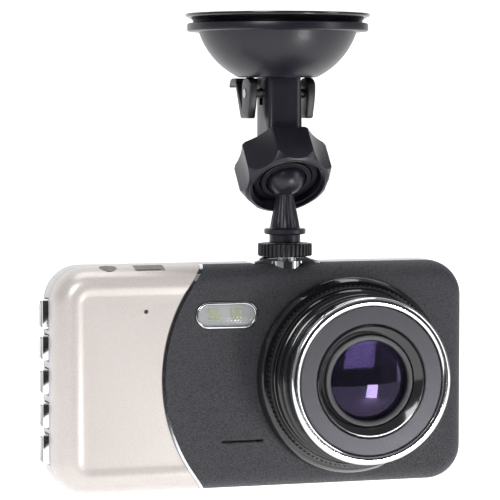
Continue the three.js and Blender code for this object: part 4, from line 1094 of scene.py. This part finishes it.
def lens_rings():
    lens_piece("lens_flange_piece", [
        [23.4, FLANGE_FRONT], [24.9, FLANGE_FRONT], [25.25, FLANGE_FRONT + 0.1],
        [26.05, FLANGE_FRONT + 1.2], [26.2, FLANGE_FRONT + 1.6], [26.2, -8.9], [26.0, -8.6], [23.4, -8.6],
    ], ["lens_flange"])
    lens_piece("lens_tube_piece", [
        [20.2, -6.3], [20.2, -10], [7.2, -10], [7.2, -12], [20.2, -12], [20.2, -24.5],
        [21.7, -24.5], [21.95, -24.3], [21.95, -20.4], [22.3, -20.2], [22.45, -20.0], [22.45, -17.6],
        [22.3, -17.4], [22.7, -17.3], [22.95, -17.1], [22.95, -14.7], [23.2, -14.4], [23.2, -8.6],
        [21.2, -8.6], [21.2, -6.3],
    ], ["lens_tube"])
    front = LENS_FRONT
    lens_piece("front_chrome_ring", [
        [19.8, front + 1.9], [19.8, front + 0.55], [19.95, front + 0.25], [20.3, front + 0.05],
        [20.7, front], [21.2, front], [21.6, front + 0.12], [21.88, front + 0.38], [22, front + 0.75],
        [22, front + 1.9],
    ], ["lens_chrome_ring"])
    lens_piece("face_annulus", [
        [15, front + 3.5], [15, front + 0.75], [15.25, front + 0.55], [19.3, front + 0.5],
        [19.6, front + 0.7], [19.6, front + 3.5],
    ], ["lens_face_ring"])
    lens_piece("inner_cone_ring", [
        [12.4, BEZEL_FRONT + 2], [12.4, BEZEL_FRONT + 0.1], [12.7, BEZEL_FRONT - 0.2],
        [14.0, front + 0.75], [14.3, front + 0.55], [14.6, front + 0.55], [14.8, front + 0.75],
        [14.8, BEZEL_FRONT + 2],
    ], ["lens_inner_cone"])
    lens_piece("glass_bezel", [
        [10.6, -22.2], [10.6, BEZEL_FRONT + 0.25], [10.8, BEZEL_FRONT + 0.05], [11.0, BEZEL_FRONT],
        [11.9, BEZEL_FRONT], [12.2, BEZEL_FRONT + 0.25], [12.2, -22.2],
    ], ["lens_bezel"])


def knurled_ring():
    centre = case(lens_x, 0, 0)
    core = turned("knurled_ring_piece", [
        [23.4, KNURL_FRONT], [23.8, KNURL_FRONT], [23.95, KNURL_FRONT + 0.15],
        [23.95, KNURL_FRONT + 1.95], [23.8, KNURL_FRONT + 2.1], [23.4, KNURL_FRONT + 2.1],
    ], centre, "Y", 128)
    tooth = block(
        "tooth",
        case(lens_x + 23.7, KNURL_FRONT + 0.12, -0.4),
        case(lens_x + 24.3, KNURL_FRONT + 1.98, 0.4),
    )
    edge_x = case(lens_x + 24.2, 0, 0).x
    pick_edges(tooth, lambda a, b: a.x > edge_x and b.x > edge_x and abs(a.z - b.z) < SAME)
    bevel_picked(0.26, 1)
    teeth = ring_of(tooth, 112, centre, "Y")
    finished(joined(core, teeth), ["knurled_ring"], smooth=20)


def lens_element(name, radius, crown, rim, y_front, nodes):
    front = [[radius * share / 8, y_front + crown * (share / 8) ** 2] for share in range(9)]
    back = y_front + crown + rim
    lens_piece(name, [*front, [radius, back], [0, back]], nodes, smooth=40)


def lens_inside():
    lens_element("front_element", 10.5, 1.6, 1.4, BEZEL_FRONT + 0.2, ["lens_front_glass"])
    lens_element("middle_element", 8.8, 1.2, 1.6, -20, ["lens_middle_glass"])
    lens_piece("stepped_barrel", [
        [5.6, -5.3], [5.6, -13.7], [9.1, -13.7], [9.1, -21], [9.5, -21.1], [12.2, -21],
        [12.2, -12.2], [7, -12.2], [7, -5.3],
    ], ["lens_barrel"])


# ---------- lamp, keys and screws ----------


def lamp():
    rim_width, clearance = 0.7, 0.1
    rim = case_plate("lamp_rim", stadium(LAMP), -8.9, -6.3)
    boolean(rim, case_plate("lamp_room", stadium(LAMP, -rim_width), -10, -5))
    soften(rim, 0.2, 3, 50)
    finished(rim, ["lamp_bezel"], smooth=40)
    window = case_plate("lamp_cover", stadium(LAMP, -rim_width - clearance), -8.7, -7.1)
    soften(window, 0.25, 3, 50)
    finished(window, ["lamp_window"], smooth=40)
    half = 1.4
    for side, offset in (("left", -3.1), ("right", 3.1)):
        x, z = LAMP["x"] + offset, LAMP["z"]
        chip = block(f"led_{side}", case(x - half, -7.0, z - half), case(x + half, -6.2, z + half))
        pick_faces(chip, lambda centre, normal: normal.y < -0.9)
        bpy.ops.mesh.inset(thickness=0.3 * MM, depth=0)
        bpy.ops.mesh.inset(thickness=0.15 * MM, depth=-0.15 * MM)
        close_mesh()
        soften(chip, 0.08, 2, 40)
        finished(chip, [f"lamp_led_{side}"])


def keys():
    side = -case_width / 2
    outer, inner = side - 1.5, side + 3.3
    back = KEY_Y + KEY_HALF_DEPTH
    front = KEY_Y - KEY_HALF_DEPTH
    for name, level, height in key_places():
        half = height / 2
        cap = block(
            f"key_cap_{name}",
            case(outer, front, level - half), case(inner, back, level + half),
        )
        left = case(outer + 0.1, 0, 0).x
        pick_edges(cap, runs_along("X"))
        bevel_picked(0.6, 4)
        pick_faces(cap, lambda centre, normal: normal.x < -0.9 and centre.x < left)
        bpy.ops.mesh.inset(thickness=0.22 * MM, depth=0.0)
        bpy.ops.mesh.inset(thickness=0.4 * MM, depth=0.0)
        bpy.ops.mesh.inset(thickness=0.05 * MM, depth=-0.65 * MM)
        close_mesh()
        soften(cap, 0.16, 2, 50)
        flange = block(
            "key_flange",
            case(side + 2.6, front, level - half - 0.4), case(inner, back, level + half + 0.4),
        )
        boolean(cap, flange, "UNION")
        finished(cap, [f"key_{name}"], smooth=35)
        inlay = block(
            f"inlay_{name}",
            case(outer, KEY_Y - 1.6, level - half + 0.8),
            case(side - 0.9, KEY_Y + 1.6, level + half - 0.8),
        )
        pick_edges(inlay, runs_along("X"))
        bevel_picked(0.4, 3)
        soften(inlay, 0.12, 2, 50)
        finished(inlay, [f"key_inlay_{name}"], smooth=35)


def cover_screws():
    centre = case(POSTS["x"], 0, POSTS["z"])
    model = turned("screw_model", [
        [0, -4.3], [0.6, -4.3], [0.95, -3.8], [0.95, 7.3],
        [1.8, 7.3], [1.8, 7.9], [1.65, 8.15], [1.2, 8.28], [0, 8.3],
    ], centre, "Y", 40)
    for long_x, long_z in ((1.1, 0.22), (0.22, 1.1)):
        boolean(model, block(
            "cross_slot",
            case(POSTS["x"] - long_x, 7.6, POSTS["z"] - long_z),
            case(POSTS["x"] + long_x, 9, POSTS["z"] + long_z),
        ))
    for name, side_x, side_z in (
        ("top_left", -1, 1), ("top_right", 1, 1), ("bottom_left", -1, -1), ("bottom_right", 1, -1),
    ):
        screw = copied(model, f"screw_{name}")
        place = case(side_x * POSTS["x"], 0, side_z * POSTS["z"])
        bpy.ops.transform.translate(value=place - centre)
        finished(screw, [f"cover_screw_{name}"], smooth=35)
    bpy.data.objects.remove(model)


for make in (
    rubber_cup, dome, arm, lever, clamp_nut, seat_of_ball, stud, ribbed_nut,
    front_shell, leather_panel, trim_line, middle_frame, rear_lid, boss, cover_glass,
    lens_rings, knurled_ring, lens_inside, lamp, keys, cover_screws,
):
    make()

# ---------- studio ----------


def matt_white_board(node, place):
    # Matt white-painted board, evenly lit from all sides, with the faintest unevenness of a roller.
    cloud = node("TexNoise", {"Scale": 1 / (180 * MM), "Detail": 2}, Vector=place)
    colour = node("MixRGB", {"Color1": "#FAFAFA", "Color2": "#F6F6F7"}, Fac=cloud)
    gloss = node("MapRange", {"To Min": 0.8, "To Max": 0.9}, Value=cloud)
    return node(
        "BsdfPrincipled",
        {"IOR": 1.45, "Emission Color": "#FFFFFF", "Emission Strength": 0.62},
        Base_Color=colour, Roughness=gloss,
    )


def studio():
    """A pale board that lies under the object and curves up behind it, in soft daylight."""
    floor_level = cad_box[0].z - 0.03
    flat_end, bend = 0.9, 0.6
    sweep = [(-0.32, floor_level), (flat_end, floor_level)]
    for degrees in range(10, 91, 10):
        turn = math.radians(degrees)
        sweep.append((flat_end + bend * math.sin(turn), floor_level + bend * (1 - math.cos(turn))))
    sweep.append((flat_end + bend, 2.2))
    board = drawn_line("studio_sweep", [(-1.8, y, z) for y, z in sweep])
    open_mesh(board)
    bpy.ops.mesh.extrude_region_move(TRANSFORM_OT_translate={"value": (3.6, 0, 0)})
    close_mesh()
    settle(board)
    bpy.ops.object.shade_smooth()
    board.data.materials.append(material_of(matt_white_board))
    world = bpy.data.worlds.new("soft_daylight")
    bpy.context.scene.world = world
    world.use_nodes = True
    world.node_tree.nodes["Background"].inputs["Color"].default_value = linear("#FBFCFF")
    world.node_tree.nodes["Background"].inputs["Strength"].default_value = 0.3


def black_flag():
    """A dark card behind the viewpoint, seen only in reflections: the chrome and the lens mirror it."""
    clear()
    bpy.ops.mesh.primitive_plane_add(
        size=1, location=(0.05, -0.8, -0.05), rotation=(math.radians(90), 0, 0),
    )
    card = bpy.context.object
    card.name = "black_flag"
    card.scale = (0.9, 0.9, 1)
    settle(card)
    card.data.materials.append(SLOT_FINISH["satin_black"])
    card.visible_camera = False
    card.visible_shadow = False


def softbox(name, place, aim, width, height, power):
    data = bpy.data.lights.new(name, "AREA")
    data.shape = "RECTANGLE"
    data.size = width
    data.size_y = height
    data.energy = power
    light = bpy.data.objects.new(name, data)
    bpy.context.scene.collection.objects.link(light)
    light.location = place
    light.rotation_euler = (Vector(aim) - Vector(place)).to_track_quat("-Z", "Y").to_euler()


def viewpoint():
    """A long lens, a little left of the front and a little above."""
    target = Vector((-9.6, -6, -63.1)) * MM
    azimuth, elevation, distance = math.radians(-17), math.radians(3.5), 0.667
    away = Vector((
        math.sin(azimuth) * math.cos(elevation),
        -math.cos(azimuth) * math.cos(elevation),
        math.sin(elevation),
    ))
    data = bpy.data.cameras.new("viewpoint")
    data.lens, data.sensor_width = 180, 36
    camera = bpy.data.objects.new("viewpoint", data)
    bpy.context.scene.collection.objects.link(camera)
    camera.location = target + away * distance
    camera.rotation_euler = (-away).to_track_quat("-Z", "Y").to_euler()
    bpy.context.scene.camera = camera


studio()
black_flag()
middle = (cad_box[0] + cad_box[1]) / 2
softbox("key_light", (-0.5, -0.7, 0.45), middle, 0.4, 0.4, 5.2)
softbox("fill_light", (0.75, -0.55, 0.1), middle, 0.25, 0.7, 2.0)
softbox("top_light", (0, 0.1, 0.75), middle, 0.7, 0.5, 3.2)
softbox("window_light", (0.075, -0.165, -0.146), case(lens_x, LENS_FRONT, 0), 0.03, 0.045, 0.14)
viewpoint()
bpy.context.scene.view_settings.view_transform = "Standard"
